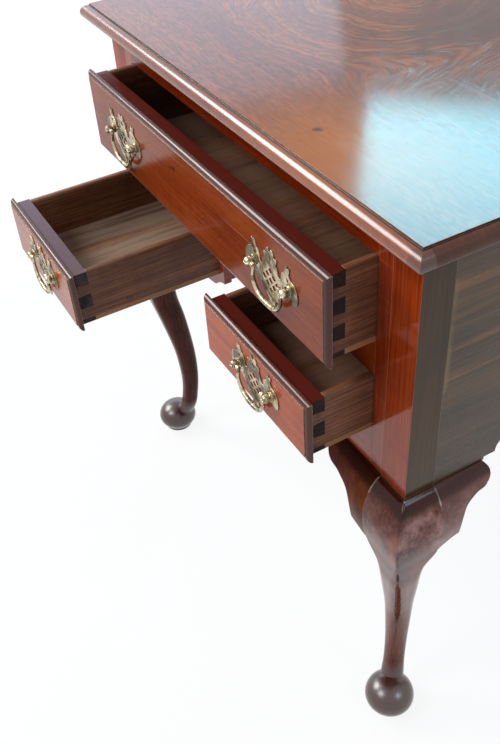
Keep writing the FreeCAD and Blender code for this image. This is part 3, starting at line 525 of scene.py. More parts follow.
@timber("sides", dark=(0.035, 0.017, 0.006), middle=(0.072, 0.032, 0.010),
        light=(0.110, 0.052, 0.016), cloud=(0.034, 0.026, 0.016), worn=(0.300, 0.190, 0.100),
        streaks=0.25, pores=0.3, wear=0.5, roughness=0.2)
class SideFinish(bpy.types.PropertyGroup):
    """Faded mahogany of the case sides."""
    stripe: colour_choice("Stripes", "Warm stripes in the upper board", (0.250, 0.095, 0.024))
    scuff: colour_choice("Scuff", "Yellow scuffs beside the posts", (0.200, 0.120, 0.045))
    arris: arris_choice()


# On the drawer fronts the pale rubbed edges are partly real wear and partly painted highlights
# along the lips.
@timber("drawer fronts", dark=(0.190, 0.024, 0.005), middle=(0.270, 0.040, 0.007),
        light=(0.350, 0.064, 0.012), cloud=(0.200, 0.030, 0.006), worn=(0.800, 0.600, 0.460),
        streaks=0.18, pores=0.4, wear=0.75, roughness=0.13)
class FrontFinish(bpy.types.PropertyGroup):
    """Straight-grained mahogany of the drawer fronts."""
    pin: colour_choice("Pins", "Dark end grain of the dovetail pins", (0.014, 0.011, 0.009))
    backing: colour_choice("Backing", "Colour of the front behind its lip", (0.098, 0.014, 0.010))
    # The left drawer's backing colour is a painted reflection of bluish light.
    reflected_light_backing: colour_choice("Backing with painted reflection", "Backing of the left drawer, with a painted reflection of bluish light",
                         (0.150, 0.100, 0.120))
    arris: arris_choice(0.6 * MM)


@timber("legs", dark=(0.070, 0.010, 0.004), middle=(0.150, 0.027, 0.010),
        light=(0.230, 0.052, 0.020), cloud=(0.050, 0.010, 0.006), worn=(0.420, 0.220, 0.130),
        streaks=0.2, pores=0.3, wear=0.55, roughness=0.08)
class LegFinish(bpy.types.PropertyGroup):
    """Dark glossy mahogany of the legs and brackets."""
    # The knees' bloom is partly dusty bloom and partly painted highlight.
    bloom_and_highlight: colour_choice("Bloom", "Dusty patches and painted highlights on the knees", (0.460, 0.240, 0.215))
    amber: colour_choice("Amber", "Warm streaks in the brackets and knees", (0.270, 0.062, 0.010))
    crack: colour_choice("Crack", "Pale filling of the cracks at the knees", (0.620, 0.540, 0.480))
    arris: arris_choice()


@timber("drawer linings", dark=(0.085, 0.028, 0.011), middle=(0.195, 0.070, 0.028),
        light=(0.290, 0.122, 0.058), cloud=(0.105, 0.050, 0.032), worn=(0.500, 0.310, 0.190),
        streaks=0.45, pores=0.5, wear=0.7, roughness=0.45)
class LiningFinish(bpy.types.PropertyGroup):
    """Brown oak of the drawer sides, backs and bottoms."""
    weathered: colour_choice("Weathered", "Grey of the most open bottom", (0.330, 0.235, 0.170))
    bottom: colour_choice("Bottom", "Brown of the other drawer bottoms", (0.190, 0.105, 0.070))
    slip: colour_choice("Slip", "Rubbed colour of the slips under the sides", (0.420, 0.200, 0.085))
    arris: arris_choice(1.2 * MM)


@timber("carcase", dark=(0.050, 0.024, 0.013), middle=(0.130, 0.068, 0.038),
        light=(0.210, 0.120, 0.070), cloud=(0.065, 0.040, 0.027), worn=(0.320, 0.200, 0.120),
        streaks=0.5, pores=0.7, wear=0.45, roughness=0.72)
class CarcaseFinish(bpy.types.PropertyGroup):
    """Unpolished oak inside and behind the case."""
    arris: arris_choice(1.2 * MM)


class BrassFinish(bpy.types.PropertyGroup):
    """Lacquered yellow brass of the handles."""
    metal: colour_choice("Brass", "Colour of the polished brass", (0.640, 0.545, 0.370))
    tarnish: colour_choice("Tarnish", "Colour of the dull hollows", (0.075, 0.058, 0.030))
    bright: colour_choice("Rubbed edge", "Colour where edges are rubbed", (0.950, 0.880, 0.720))
    dullness: share_choice("Tarnish", "How much of the brass has dulled", 0.85)
    roughness: share_choice("Roughness", "Roughness of the polished brass", 0.16)
    chamfer: bpy.props.FloatProperty(
        name="Chamfer", description="Width of the plates' bevelled edge", default=PLATE_CHAMFER,
        min=0.0, max=0.005, precision=5, unit="LENGTH")


class StageFinish(bpy.types.PropertyGroup):
    """Floor, light and camera."""
    floor: colour_choice("Floor", "Colour of the floor", (0.86, 0.86, 0.87))
    room: colour_choice("Room", "Colour of the light from all round", (0.950, 0.970, 1.000))
    room_light: bpy.props.FloatProperty(
        name="Room light", description="Strength of the light from all round", default=0.32,
        min=0.0, max=5.0)
    lens: bpy.props.FloatProperty(
        name="Lens", description="Focal length of the camera in millimetres",
        default=CAMERA_LENS, min=1.0, max=500.0)


# Dressing

def give(names, material):
    """Puts one material on each of these nodes."""
    for name in names:
        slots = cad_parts[name].data.materials
        slots.clear()
        slots.append(material)


def facing(nodes, axis, least=0.7):
    """Where the surface faces along one axis of the piece, either way."""
    flat = nodes.add("NewGeometry").outputs["Normal"]
    parts = nodes.add("SeparateXYZ", {"Vector": flat}).outputs
    level = nodes.math("ABSOLUTE", parts[axis])
    return nodes.spread(level, least - FACING_SOFT, least + FACING_SOFT)


def beyond(nodes, place, axis, limit, soft):
    """Where the piece lies past a limit along one axis."""
    parts = nodes.add("SeparateXYZ", {"Vector": place}).outputs
    return nodes.spread(parts[axis], limit - soft, limit + soft)


def band(nodes, place, axis, low, high, soft):
    """Where the piece lies between two limits along one axis."""
    above = beyond(nodes, place, axis, low, soft)
    below = nodes.inverse(beyond(nodes, place, axis, high, soft))
    return nodes.times(above, below)


def around(nodes, place, centre, near, far):
    """A soft round spot."""
    away = nodes.vector("LENGTH", nodes.vector("SUBTRACT", place, centre))
    return nodes.spread(away, near, far, 1.0, 0.0)


def beside_line(nodes, place, start, end, near, far):
    """A soft band along a straight line."""
    way = Vector(end) - Vector(start)
    reach = nodes.vector("SUBTRACT", place, start)
    share = nodes.vector("DOT_PRODUCT", reach, tuple(way / way.length_squared))
    share = nodes.add("Clamp", {"Value": share}).outputs[0]
    nearest = nodes.vector("SCALE", tuple(way), scale=share)
    away = nodes.vector("LENGTH", nodes.vector("SUBTRACT", reach, nearest))
    return nodes.spread(away, near, far, 1.0, 0.0)


def folded(nodes, place):
    """The place as if every quarter of the lowboy were its front right one."""
    middle = (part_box("leg_front_right")[0].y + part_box("leg_back_right")[1].y) / 2
    parts = nodes.add("SeparateXYZ", {"Vector": place}).outputs
    back = nodes.math("ABSOLUTE", nodes.math("SUBTRACT", parts["Y"], middle))
    return nodes.add("CombineXYZ", {
        "X": nodes.math("ABSOLUTE", parts["X"]),
        "Y": nodes.math("SUBTRACT", middle, back),
        "Z": parts["Z"],
    }).outputs[0]


# The figure of the top: a crotch swirl, a knot, a dark stain, a dark streak that leaves it, which
# is a painted reflection of a gap between lights, and an orange glow, each with its place and its
# fade.
# The drift is how far the rings of the swirl wander, and the ragged edge how far the edges of the
# other marks do.

SWIRL_CENTRE = (-0.110, 0.170, 0.0)
SWIRL_FADE = (0.15, 0.30)
SWIRL_DRIFT = 0.07
KNOT = (0.127, -0.101)
KNOT_FADE = (0.002, 0.008)
STAIN = (0.012, 0.200)
STAIN_FADE = (0.04, 0.13)
DARK_REFLECTION_STREAK = ((-0.075, 0.196), (0.047, 0.080))
DARK_REFLECTION_STREAK_FADE = (0.001, 0.016)
GLOW = (0.185, -0.100)
GLOW_FADE = (0.01, 0.20)
RAGGED_EDGE = 0.03


def swirled(nodes, place):
    """Turns straight grain into rings round the crotch, and gives the share that is turned."""
    flat = nodes.vector("MULTIPLY", place, (1, 1, 0))
    drift = nodes.vector("SUBTRACT", nodes.noise_colour(flat, 6.5, 2.0), (0.5, 0.5, 0.5))
    drift = nodes.vector("MULTIPLY", drift, (SWIRL_DRIFT, SWIRL_DRIFT, 0))
    flat = nodes.vector("ADD", flat, drift)
    away = nodes.vector("LENGTH", nodes.vector("SUBTRACT", flat, SWIRL_CENTRE))
    share = nodes.spread(away, *SWIRL_FADE, 1.0, 0.0)
    across = nodes.add("SeparateXYZ", {"Vector": place}).outputs["Y"]
    ring = nodes.math("SUBTRACT", SWIRL_CENTRE[1], away)
    shift = nodes.times(nodes.math("SUBTRACT", ring, across), share)
    bent = nodes.add("CombineXYZ", {"Y": shift}).outputs[0]
    return nodes.vector("ADD", place, bent), share


def polished_top(finish):
    """Swirled and mottled wood with its marks, and a moulded edge: a quirk of painted shade, a
    fillet of wear and painted highlight, and dark ends, the right one with painted shade.
    """
    wood = Wood("Polished mahogany top", finish, waviness=0.02, ripple=0.10)
    nodes = wood.nodes
    turned, share = swirled(nodes, wood.along)
    wood.grow(turned)
    wood.age(0.45, 0.4, 0.10)
    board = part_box("top_board")
    top_z = board[1].z
    ripples = nodes.spread(nodes.drawn(turned, (3.5, 150, 1), 3.0, 0.6), 0.52, 0.64)
    wood.tint(nodes.times(ripples, share), shade(finish.light, 1.1), 0.7)
    mottle = nodes.spread(nodes.drawn(turned, (70, 330, 1), 3.0, 0.6), 0.44, 0.60)
    wood.tint(mottle, shade(finish.dark, 0.55), 0.62)
    ragged = nodes.vector("SCALE", nodes.noise_colour(wood.origin, 22.0, 3.0), scale=RAGGED_EDGE)
    ragged = nodes.vector("SUBTRACT", ragged, (RAGGED_EDGE / 2,) * 3)
    loose = nodes.vector("ADD", wood.origin, ragged)
    glow = around(nodes, loose, (*GLOW, top_z), *GLOW_FADE)
    wood.tint(glow, colour_of(finish.glow), 0.6)
    stain = around(nodes, loose, (*STAIN, top_z), *STAIN_FADE)
    wood.tint(stain, shade(finish.dark, 0.35), 0.72)
    # The streak is a painted reflection: the dark mirror image of a gap between lights, laid into
    # the wood.
    start, end = ((*point, top_z) for point in DARK_REFLECTION_STREAK)
    wood.tint(beside_line(nodes, loose, start, end, *DARK_REFLECTION_STREAK_FADE), shade(finish.dark, 0.7), 0.85)
    knot = around(nodes, loose, (*KNOT, top_z), *KNOT_FADE)
    wood.tint(knot, shade(finish.dark, 0.4), 0.85)
    # Painted shade: the quirk's narrow step under the top's surface is painted almost black.
    quirk_shade = band(nodes, wood.origin, "Z", top_z - QUIRK_FOOT, top_z - QUIRK_LIP, 0.1 * MM)
    wood.tint(quirk_shade, shade(finish.dark, 0.12), 0.85)
    # The fillet's pale line is partly rubbed wear and partly a painted highlight.
    fillet_wear_and_highlight = band(nodes, wood.origin, "Z", top_z - FILLET_FOOT, top_z - FILLET_HEAD, 0.15 * MM)
    wood.tint(fillet_wear_and_highlight, colour_of(finish.worn), 0.55)
    ends = nodes.times(facing(nodes, "X"), 0.75)
    wood.tint(ends, figure_colours(nodes, wood.figure, bpy.context.scene.lowboy_side))
    moulded = nodes.inverse(beyond(nodes, wood.origin, "Z", top_z - QUIRK_FOOT, 0.1 * MM))
    wood.tint(moulded, colour_of(finish.cloud), 0.45)
    front_y = board[0].y + MOULDING_WIDTH
    ahead = nodes.inverse(beyond(nodes, wood.origin, "Y", front_y, 1 * MM))
    # Painted shade: the right end of the moulding is painted darker.
    right = beyond(nodes, wood.origin, "X", board[1].x - MOULDING_WIDTH, 1 * MM)
    wood.tint(nodes.times(moulded, right), shade(finish.dark, 0.3), 0.55)
    wood.dull = nodes.times(moulded, 0.15)
    wood.gloss = nodes.times(moulded, ahead, 0.7)
    wood.coat = (0.26, 1.5)
    return wood.close(specular=0.37, depth=0.025)


class LOWBOY_OT_top(bpy.types.Operator):
    """Polishes the top board"""
    bl_idname = "lowboy.dress_top"
    bl_label = "Top board"

    def execute(self, context):
        give(["top_board"], polished_top(context.scene.lowboy_top))
        return {"FINISHED"}


def side_panel(finish):
    """Dark, faded boards with warm stripes above their joint and a scuff by the post."""
    wood = Wood("Side mahogany", finish, "deep", waviness=0.03, ripple=0.1).grow()
    nodes = wood.nodes
    low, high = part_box("side_right")
    joint_z = low.z + SIDE_JOINT
    stripes = nodes.spread(nodes.drawn(wood.along, (2.2, 75, 75), 3.0), 0.48, 0.60)
    stripes = nodes.times(stripes, beyond(nodes, wood.origin, "Z", joint_z, 10 * MM))
    wood.tint(stripes, colour_of(finish.stripe), 0.8)
    wood.age(0.5, 0.4, 0.15)
    place = folded(nodes, wood.origin)
    joint = beside_line(nodes, place, (high.x, low.y, joint_z), (high.x, high.y, joint_z),
                        *SIDE_JOINT_FADE)
    broken = nodes.spread(nodes.noise(wood.origin, 30.0, 3.0), 0.35, 0.6, 0.35, 1.0)
    wood.tint(joint, colour_of(finish.worn), broken)
    scuff = beside_line(nodes, place, (high.x, low.y, joint_z - SCUFF_BELOW_JOINT),
                        (high.x, low.y, joint_z + SCUFF_ABOVE_JOINT), *SCUFF_FADE)
    wood.tint(nodes.times(scuff, broken), colour_of(finish.scuff), 0.85)
    return wood.close(specular=0.42)


class LOWBOY_OT_case(bpy.types.Operator):
    """Finishes the rails, strips, aprons, partitions and sides of the case"""
    bl_idname = "lowboy.dress_case"
    bl_label = "Case"

    def execute(self, context):
        show = context.scene.lowboy_show_wood
        rails = Wood("Rail mahogany", show, "across").grow().age(0.3)
        give(["top_rail", "mid_rail", "kneehole_arch", "apron_left", "apron_right"],
             rails.close())
        strips = Wood("Strip mahogany", show, "upright", (0.3, 0.2, 0.1)).grow().age(0.3)
        give(["front_strip_left", "front_strip_right", "partition_left", "partition_right"],
             strips.close())
        give(["side_left", "side_right"], side_panel(context.scene.lowboy_side))
        return {"FINISHED"}


def seams(wood, finish, bloom_and_highlight):
    """Pale cracks where the knee meets its brackets, its bloom with painted highlight, painted
    shade under the case's edge and its bared corner.
    """
    nodes = wood.nodes
    place = folded(nodes, wood.origin)
    face_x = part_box("knee_bracket_front_right")[1].x
    face_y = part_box("knee_bracket_side_right")[0].y
    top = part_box("side_right")[0].z
    corner_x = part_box("side_right")[1].x
    corner_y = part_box("top_rail")[0].y
    cracks = (
        [(face_x, corner_y - out, top - down) for out, down in BRACKET_CRACK],
        [(corner_x + out, face_y, top - down) for out, down in BRACKET_CRACK],
        [(corner_x + out, corner_y - out, top - down) for out, down in CORNER_CRACK],
    )
    bared = [(corner_x + right, corner_y - ahead, top - down)
             for right, ahead, down in BARED_CORNER]
    below = nodes.inverse(beyond(nodes, wood.origin, "Z", top, 0.3 * MM))
    knee = band(nodes, wood.origin, "Z", top - KNEE_BLOOM_AND_HIGHLIGHT, top - KNEE_SHADE, 9 * MM)
    patches = nodes.spread(nodes.noise(wood.origin, 34.0, 5.0, 0.65), 0.40, 0.68)
    # The bloom is partly painted highlight, strongest on faces that look along X.
    beside_face = nodes.spread(facing(nodes, "X", 0.5), 0.0, 1.0, bloom_and_highlight * 0.3, bloom_and_highlight)
    hollows = nodes.spread(nodes.noise(wood.origin, 21.0, 3.0), 0.48, 0.62)
    wood.tint(nodes.times(knee, hollows), shade(finish.dark, 0.5), 0.5)
    wood.tint(nodes.times(knee, patches), colour_of(finish.bloom_and_highlight), beside_face)
    bared = beside_line(nodes, place, *bared, *BARED_FADE)
    wood.tint(bared, colour_of(finish.amber), 0.6)
    # Painted shade: the knee is darkened just under the case's lower edge.
    darkened = beyond(nodes, wood.origin, "Z", top - KNEE_SHADE, 4 * MM)
    wood.tint(nodes.times(darkened, below), shade(finish.dark, 0.3), 0.75)
    broken = nodes.spread(nodes.noise(wood.origin, 90.0, 3.0), 0.36, 0.58, 0.35, 1.0)
    for ends in cracks:
        crack = beside_line(nodes, place, *ends, *CRACK_FADE)
        wood.tint(crack, colour_of(finish.crack), broken)


class LOWBOY_OT_legs(bpy.types.Operator):
    """Finishes the cabriole legs and their knee brackets"""
    bl_idname = "lowboy.dress_legs"
    bl_label = "Legs and brackets"

    def execute(self, context):
        finish = context.scene.lowboy_leg
        for side in SIDES:
            give([f"leg_front_{side}", f"leg_back_{side}"], self.leg(context, finish, side))
        ahead = Wood("Front bracket mahogany", finish, "upright", (0.11, 0.07, 0.3)).grow().age()
        warm = ahead.nodes.drawn(ahead.along, (9, 60, 60), 3.0)
        ahead.tint(ahead.nodes.spread(warm, 0.42, 0.58), colour_of(finish.amber), 0.75)
        # Painted shade: the front brackets are made much darker than the side brackets.
        ahead.deepen(0.45)
        seams(ahead, finish, 0.1)
        give([f"knee_bracket_{where}_{side}" for where in ("front", "back") for side in SIDES],
             ahead.close(specular=0.02, depth=0.05))
        beside = Wood("Side bracket mahogany", finish, "upright", (0.31, 0.17, 0.1)).grow().age()
        # The side brackets are lightened all over with the bloom colour: partly painted highlight.
        beside.tint(0.22, colour_of(finish.bloom_and_highlight))
        seams(beside, finish, 0.45)
        give([f"knee_bracket_side_{side}" for side in SIDES],
             beside.close(specular=0.25, depth=0.05))
        return {"FINISHED"}

    def leg(self, context, finish, side):
        """One side's legs, whose posts match the case above the knee."""
        specular, depth, bloom_and_highlight = LEG_LOOKS[side]
        legs = Wood(f"Leg mahogany {side}", finish, "upright").grow().age()
        nodes = legs.nodes
        # For the left pair this darkening is painted shade.
        legs.deepen(depth)
        post = beyond(nodes, legs.origin, "Z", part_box("side_right")[0].z, 0.5 * MM)
        panel = context.scene.lowboy_side
        plain = figure_colours(nodes, legs.figure, panel)
        plain = nodes.blend(0.55, plain, colour_of(panel.middle))
        clouds = nodes.times(legs.marks["Clouds"], 0.6)
        legs.tint(post, nodes.blend(clouds, plain, colour_of(panel.cloud)))
        show = figure_colours(nodes, legs.figure, context.scene.lowboy_show_wood)
        ahead = nodes.inverse(beyond(nodes, legs.origin, "Y", 0.0, 20 * MM))
        ahead = nodes.times(ahead, facing(nodes, "Y"))
        legs.tint(post, show, ahead)
        seams(legs, finish, bloom_and_highlight)
        foot = nodes.inverse(beyond(nodes, legs.origin, "Z", FOOT_GLOSS, 12 * MM))
        legs.tint(foot, shade(finish.dark, 0.4), 0.9)
        legs.gloss = foot
        legs.dull = nodes.times(foot, 0.35)
        legs.coat = (0.3, 1.7)
        return legs.close(specular=specular, depth=0.05)


class LOWBOY_OT_drawer_fronts(bpy.types.Operator):
    """Finishes the lipped drawer fronts and their dovetail pins"""
    bl_idname = "lowboy.dress_drawer_fronts"
    bl_label = "Drawer fronts"

    def execute(self, context):
        finish = context.scene.lowboy_front
        for number, name in enumerate(DRAWERS):
            node = f"{name}_drawer_front"
            face_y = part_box(node)[0].y
            wood = Wood(f"{name.capitalize()} drawer front mahogany", finish, "across",
                        (0.37 * number, 0.19 * number, 0.0)).grow().age()
            nodes = wood.nodes
            behind = beyond(nodes, wood.origin, "Y", face_y + LIP_DEPTH, 0.2 * MM)
            wood.deepen(FRONT_DEPTHS[name])
            moulded = beyond(nodes, wood.origin, "Y", face_y + FRONT_FACE, 0.1 * MM)
            # Painted shade: the lip's moulding is painted dark.
            wood.tint(moulded, shade(finish.dark, 0.26), 0.9)
            # On the left drawer the backing is a painted reflection of bluish light on the top
            # face.
            backing = finish.reflected_light_backing if name == "left" else finish.backing
            wood.tint(behind, colour_of(backing), 0.85)
            pins = nodes.times(behind, facing(nodes, "X"))
            smudged = nodes.spread(nodes.noise(wood.origin, 70.0, 4.0, 0.65), 0.36, 0.6, 0.7, 1.0)
            wood.tint(pins, colour_of(finish.pin), smudged)
            wood.rubbed = nodes.inverse(behind)
            wood.dull = pins
            wood.gloss = nodes.times(moulded, wood.rubbed, 0.5)
            wood.coat = (0.2, 1.5)
            give([node], wood.close(specular=0.14, depth=0.12))
        return {"FINISHED"}


def weathered(wood, least, most):
    """A broken share in long lines with the grain."""
    drawn = wood.nodes.drawn(wood.along, (3.5, 55, 55), 5.0, 0.7)
    return wood.nodes.spread(drawn, 0.34, 0.62, least, most)


class LOWBOY_OT_drawer_linings(bpy.types.Operator):
    """Finishes the sides, backs, bottoms and slips of the drawers"""
    bl_idname = "lowboy.dress_drawer_linings"
    bl_label = "Drawer linings"

    def execute(self, context):
        finish = context.scene.lowboy_lining
        for number, name in enumerate(DRAWERS):
            give([f"{name}_drawer_side_{side}" for side in SIDES],
                 self.drawer_sides(finish, number, name))
            floor = Wood(f"{name.capitalize()} drawer bottom oak", finish, "deep",
                         (0.2, 0.3 * number, 0.0), 0.02).grow().age(0.4)
            tone = finish.weathered if name == "left" else finish.bottom
            floor.tint(weathered(floor, 0.1, 0.9), colour_of(tone))
            give([f"{name}_drawer_bottom"], floor.close(specular=0.2))
        backs = Wood("Drawer back oak", finish, "across", (0.5, 0.0, 0.0)).grow().age()
        give([f"{name}_drawer_back" for name in DRAWERS], backs.close(specular=0.3))
        slips = Wood("Drawer slip oak", finish, "deep", (0.7, 0.1, 0.0)).grow().age()
        slips.tint(0.5, colour_of(finish.slip))
        give([f"{name}_drawer_strips" for name in DRAWERS], slips.close(specular=0.25))
        return {"FINISHED"}

    def drawer_sides(self, finish, number, name):
        """Both sides of a drawer, rubbed along the top and grimy round their dovetails."""
        low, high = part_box(f"{name}_drawer_side_left")
        sides = Wood(f"{name.capitalize()} drawer side oak", finish, "deep",
                     (0.0, 0.0, 0.2 * number)).grow().age()
        nodes = sides.nodes
        sides.rubbed = beyond(nodes, sides.origin, "Z", high.z - LINING_EDGE, 1 * MM)
        clean = beyond(nodes, sides.origin, "Y", low.y + DOVETAIL_GRIME, 8 * MM)
        patches = nodes.spread(nodes.noise(sides.origin, 45.0, 4.0, 0.6), 0.36, 0.6)
        darkened = nodes.times(nodes.inverse(clean), patches)
        sides.tint(darkened, shade(finish.dark, 0.4), 0.75)
        return sides.close(specular=0.3)


class LOWBOY_OT_carcase(bpy.types.Operator):
    """Finishes the hidden boards, runners and blocks of the carcase"""
    bl_idname = "lowboy.dress_carcase"
    bl_label = "Inside of the case"

    def execute(self, context):
        finish = context.scene.lowboy_carcase
        boards = Wood("Carcase board oak", finish, "across", (0.1, 0.6, 0.2)).grow().age(0.6)
        give(["dustboard", "back_board"], boards.close(specular=0.2))
        slides = Wood("Runner oak", finish, "deep", (0.4, 0.1, 0.6)).grow().age(0.6)
        give(["runners", "drawer_guides", "kickers", "glue_blocks"], slides.close(specular=0.2))
        return {"FINISHED"}


def aged_brass(finish, name, scale):
    """Yellow brass, dull in cloudy patches and bright on its rubbed edges."""
    material = bpy.data.materials.new(name)
    nodes = emptied(material)
    origin = nodes.object_place()
    rim = nodes.group(edge_wear(), Vector=origin, Radius=BRASS_ARRIS)
    cloud = nodes.spread(nodes.noise(origin, scale, 4.0, 0.62), 0.38, 0.62)
    fleck = nodes.noise(origin, scale * 6, 2.0)
    dull = nodes.times(cloud, finish.dullness)
    colour = nodes.blend(dull, colour_of(finish.metal), colour_of(finish.tarnish))
    colour = nodes.blend(nodes.times(rim["Wear"], 0.8), colour, colour_of(finish.bright))
    rough = nodes.math("ADD", finish.roughness, nodes.times(cloud, 0.22))
    rough = nodes.math("ADD", rough, nodes.times(fleck, 0.08))
    bump = nodes.add("Bump", {
        "Strength": 0.25, "Distance": BRASS_RELIEF,
        "Height": nodes.math("ADD", fleck, cloud), "Normal": rim["Normal"],
    })
    shader = nodes.add("BsdfPrincipled", {
        "Base Color": colour, "Roughness": rough, "Metallic": 1.0, "Normal": bump.outputs[0],
    })
    nodes.add("OutputMaterial", {"Surface": shader.outputs[0]})
    return material


def chamfered_plate(node, width):
    """A copy of a handle's plate with its front edge chamfered as a cast plate's is."""
    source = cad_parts[node]
    mesh = bpy.data.meshes.new(node + "_chamfered")
    shape = bmesh.new()
    shape.from_mesh(source.data)
    bmesh.ops.remove_doubles(shape, verts=shape.verts, dist=DOUBLES)
    bmesh.ops.dissolve_limit(
        shape, angle_limit=PLATE_FLATNESS, verts=shape.verts, edges=shape.edges)
    shape.normal_update()
    front = [face for face in shape.faces if face.normal.y < -PLATE_FRONT]
    if not front:
        raise RuntimeError(f"{node} has no front face to chamfer")
    rim = [edge for edge in {edge for face in front for edge in face.edges}
           if any(abs(face.normal.y) < PLATE_WALL for face in edge.link_faces)]
    bmesh.ops.bevel(
        shape, geom=rim, offset=width, offset_type="OFFSET", segments=2, profile=0.5,
        affect="EDGES", material=-1, clamp_overlap=True)
    bmesh.ops.recalc_face_normals(shape, faces=shape.faces)
    shape.to_mesh(mesh)
    shape.free()
    piece = bpy.data.objects.new(node + "_chamfered", mesh)
    bpy.context.scene.collection.objects.link(piece)
    return piece


class LOWBOY_OT_handles(bpy.types.Operator):
    """Casts the pierced plates, posts and bails in aged brass"""
    bl_idname = "lowboy.dress_handles"
    bl_label = "Handles"

    def execute(self, context):
        finish = context.scene.lowboy_brass
        plate_brass = aged_brass(finish, "Plate brass", PLATE_TARNISH)
        bail_brass = aged_brass(finish, "Bail brass", BAIL_TARNISH)
        for name in HANDLES:
            node = f"handle_{name}_plate"
            piece = chamfered_plate(node, finish.chamfer)
            piece.data.materials.append(plate_brass)
            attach(piece, HANDLE_DRAWERS[name])
            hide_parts(node)
            give([node], plate_brass)
            give([f"handle_{name}_bail"], bail_brass)
        for name in DRAWERS:
            give([f"{name}_drawer_handle_posts", f"{name}_drawer_handle_nuts"], bail_brass)
        return {"FINISHED"}


def lamp(name, towards, distance, size, colour, radiance):
    """A rectangular soft light that faces a place on the lowboy's top."""
    light = bpy.data.lights.new(name, "AREA")
    light.shape = "RECTANGLE"
    light.size = size[0]
    light.size_y = size[1]
    light.color = colour
    light.energy = radiance * math.pi * size[0] * size[1]
    made = bpy.data.objects.new(name, light)
    bpy.context.scene.collection.objects.link(made)
    bearing, height = (math.radians(angle) for angle in towards)
    out = Vector((math.cos(bearing) * math.cos(height), math.sin(bearing) * math.cos(height),
                  math.sin(height)))
    made.location = Vector(LAMP_TARGET) + out * distance
    made.rotation_mode = "QUATERNION"
    made.rotation_quaternion = out.to_track_quat("Z", "Y")
    made.visible_camera = False


def seen_white(nodes):
    """One where the camera sees a surface, by itself or in a reflection, and else nought."""
    rays = nodes.add("LightPath").outputs
    mirrored = nodes.math("MAXIMUM", rays["Is Glossy Ray"], rays["Is Transmission Ray"])
    return nodes.math("MAXIMUM", rays["Is Camera Ray"], mirrored)


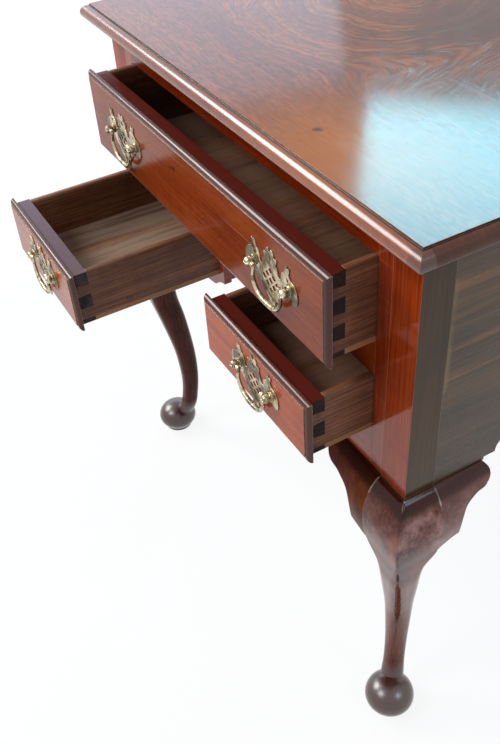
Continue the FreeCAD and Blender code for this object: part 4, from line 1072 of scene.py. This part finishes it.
class LOWBOY_OT_stage(bpy.types.Operator):
    """Lays the floor, hangs the lights and sets the camera"""
    bl_idname = "lowboy.set_stage"
    bl_label = "Floor, light and camera"

    def execute(self, context):
        stage = context.scene.lowboy_stage
        self.lay_floor(context, stage)
        self.light_room(context, stage)
        for name, setting in LAMPS.items():
            lamp(name, *setting)
        self.place_camera(context, stage)
        context.scene.view_settings.view_transform = "Standard"
        return {"FINISHED"}

    def lay_floor(self, context, stage):
        """A pale matt floor."""
        mesh = bpy.data.meshes.new("floor")
        shape = bmesh.new()
        bmesh.ops.create_grid(shape, x_segments=1, y_segments=1, size=FLOOR_REACH)
        shape.to_mesh(mesh)
        shape.free()
        floor = bpy.data.objects.new("floor", mesh)
        context.scene.collection.objects.link(floor)
        material = bpy.data.materials.new("Pale floor")
        nodes = emptied(material)
        speck = nodes.noise(nodes.object_place(), 3.0, 3.0)
        tone = nodes.blend(nodes.times(speck, 0.04), colour_of(stage.floor),
                           shade(stage.floor, 0.9))
        matt = nodes.add("BsdfDiffuse", {"Color": tone}).outputs[0]
        white = nodes.add("Emission", {"Color": WHITE, "Strength": 1.0}).outputs[0]
        share = nodes.times(seen_white(nodes), FLOOR_WHITENESS)
        mixed = nodes.add("MixShader", {0: share, 1: matt, 2: white})
        nodes.add("OutputMaterial", {"Surface": mixed.outputs[0]})
        mesh.materials.append(material)

    def light_room(self, context, stage):
        """A dim even light from all round, in a room that is seen as white."""
        world = bpy.data.worlds.new("Studio")
        context.scene.world = world
        nodes = emptied(world)
        share = seen_white(nodes)
        ambient = nodes.add("Background", {
            "Color": colour_of(stage.room), "Strength": stage.room_light,
        }).outputs[0]
        white = nodes.add("Background", {"Color": WHITE, "Strength": 1.0}).outputs[0]
        mixed = nodes.add("MixShader", {0: share, 1: ambient, 2: white})
        nodes.add("OutputWorld", {"Surface": mixed.outputs[0]})

    def place_camera(self, context, stage):
        """The camera, rolled a little."""
        camera = bpy.data.cameras.new("Camera")
        camera.lens = stage.lens
        camera.clip_start = 0.01
        camera.clip_end = 100.0
        made = bpy.data.objects.new("Camera", camera)
        context.scene.collection.objects.link(made)
        made.location = CAMERA_PLACE
        made.rotation_mode = "QUATERNION"
        roll = Quaternion((0, 0, 1), math.radians(CAMERA_ROLL))
        made.rotation_quaternion = Vector(CAMERA_AIM).to_track_quat("-Z", "Y") @ roll
        context.scene.camera = made


STEPS = (
    LOWBOY_OT_top,
    LOWBOY_OT_case,
    LOWBOY_OT_legs,
    LOWBOY_OT_drawer_fronts,
    LOWBOY_OT_drawer_linings,
    LOWBOY_OT_carcase,
    LOWBOY_OT_handles,
    LOWBOY_OT_stage,
)

FINISHES = {
    "lowboy_top": TopFinish,
    "lowboy_show_wood": ShowWoodFinish,
    "lowboy_side": SideFinish,
    "lowboy_front": FrontFinish,
    "lowboy_leg": LegFinish,
    "lowboy_lining": LiningFinish,
    "lowboy_carcase": CarcaseFinish,
    "lowboy_brass": BrassFinish,
    "lowboy_stage": StageFinish,
}


class LOWBOY_PT_finisher(bpy.types.Panel):
    """The steps of dressing the lowboy, and their colours and sizes"""
    bl_idname = "LOWBOY_PT_finisher"
    bl_label = "Lowboy"
    bl_space_type = "VIEW_3D"
    bl_region_type = "UI"
    bl_category = "Lowboy"

    def draw(self, context):
        for step in STEPS:
            self.layout.operator(step.bl_idname)
        for name, kind in FINISHES.items():
            box = self.layout.box()
            box.label(text=kind.__doc__)
            for choice in kind.__annotations__:
                box.prop(getattr(context.scene, name), choice)


def register():
    for kind in (*FINISHES.values(), *STEPS, LOWBOY_PT_finisher):
        bpy.utils.register_class(kind)
    for name, kind in FINISHES.items():
        setattr(bpy.types.Scene, name, bpy.props.PointerProperty(type=kind))


def unregister():
    for name in FINISHES:
        delattr(bpy.types.Scene, name)
    for kind in (LOWBOY_PT_finisher, *reversed(STEPS), *reversed(FINISHES.values())):
        bpy.utils.unregister_class(kind)


def main():
    register()
    bpy.ops.lowboy.dress_top()
    bpy.ops.lowboy.dress_case()
    bpy.ops.lowboy.dress_legs()
    bpy.ops.lowboy.dress_drawer_fronts()
    bpy.ops.lowboy.dress_drawer_linings()
    bpy.ops.lowboy.dress_carcase()
    bpy.ops.lowboy.dress_handles()
    bpy.ops.lowboy.set_stage()


if __name__ == "__main__":
    main()
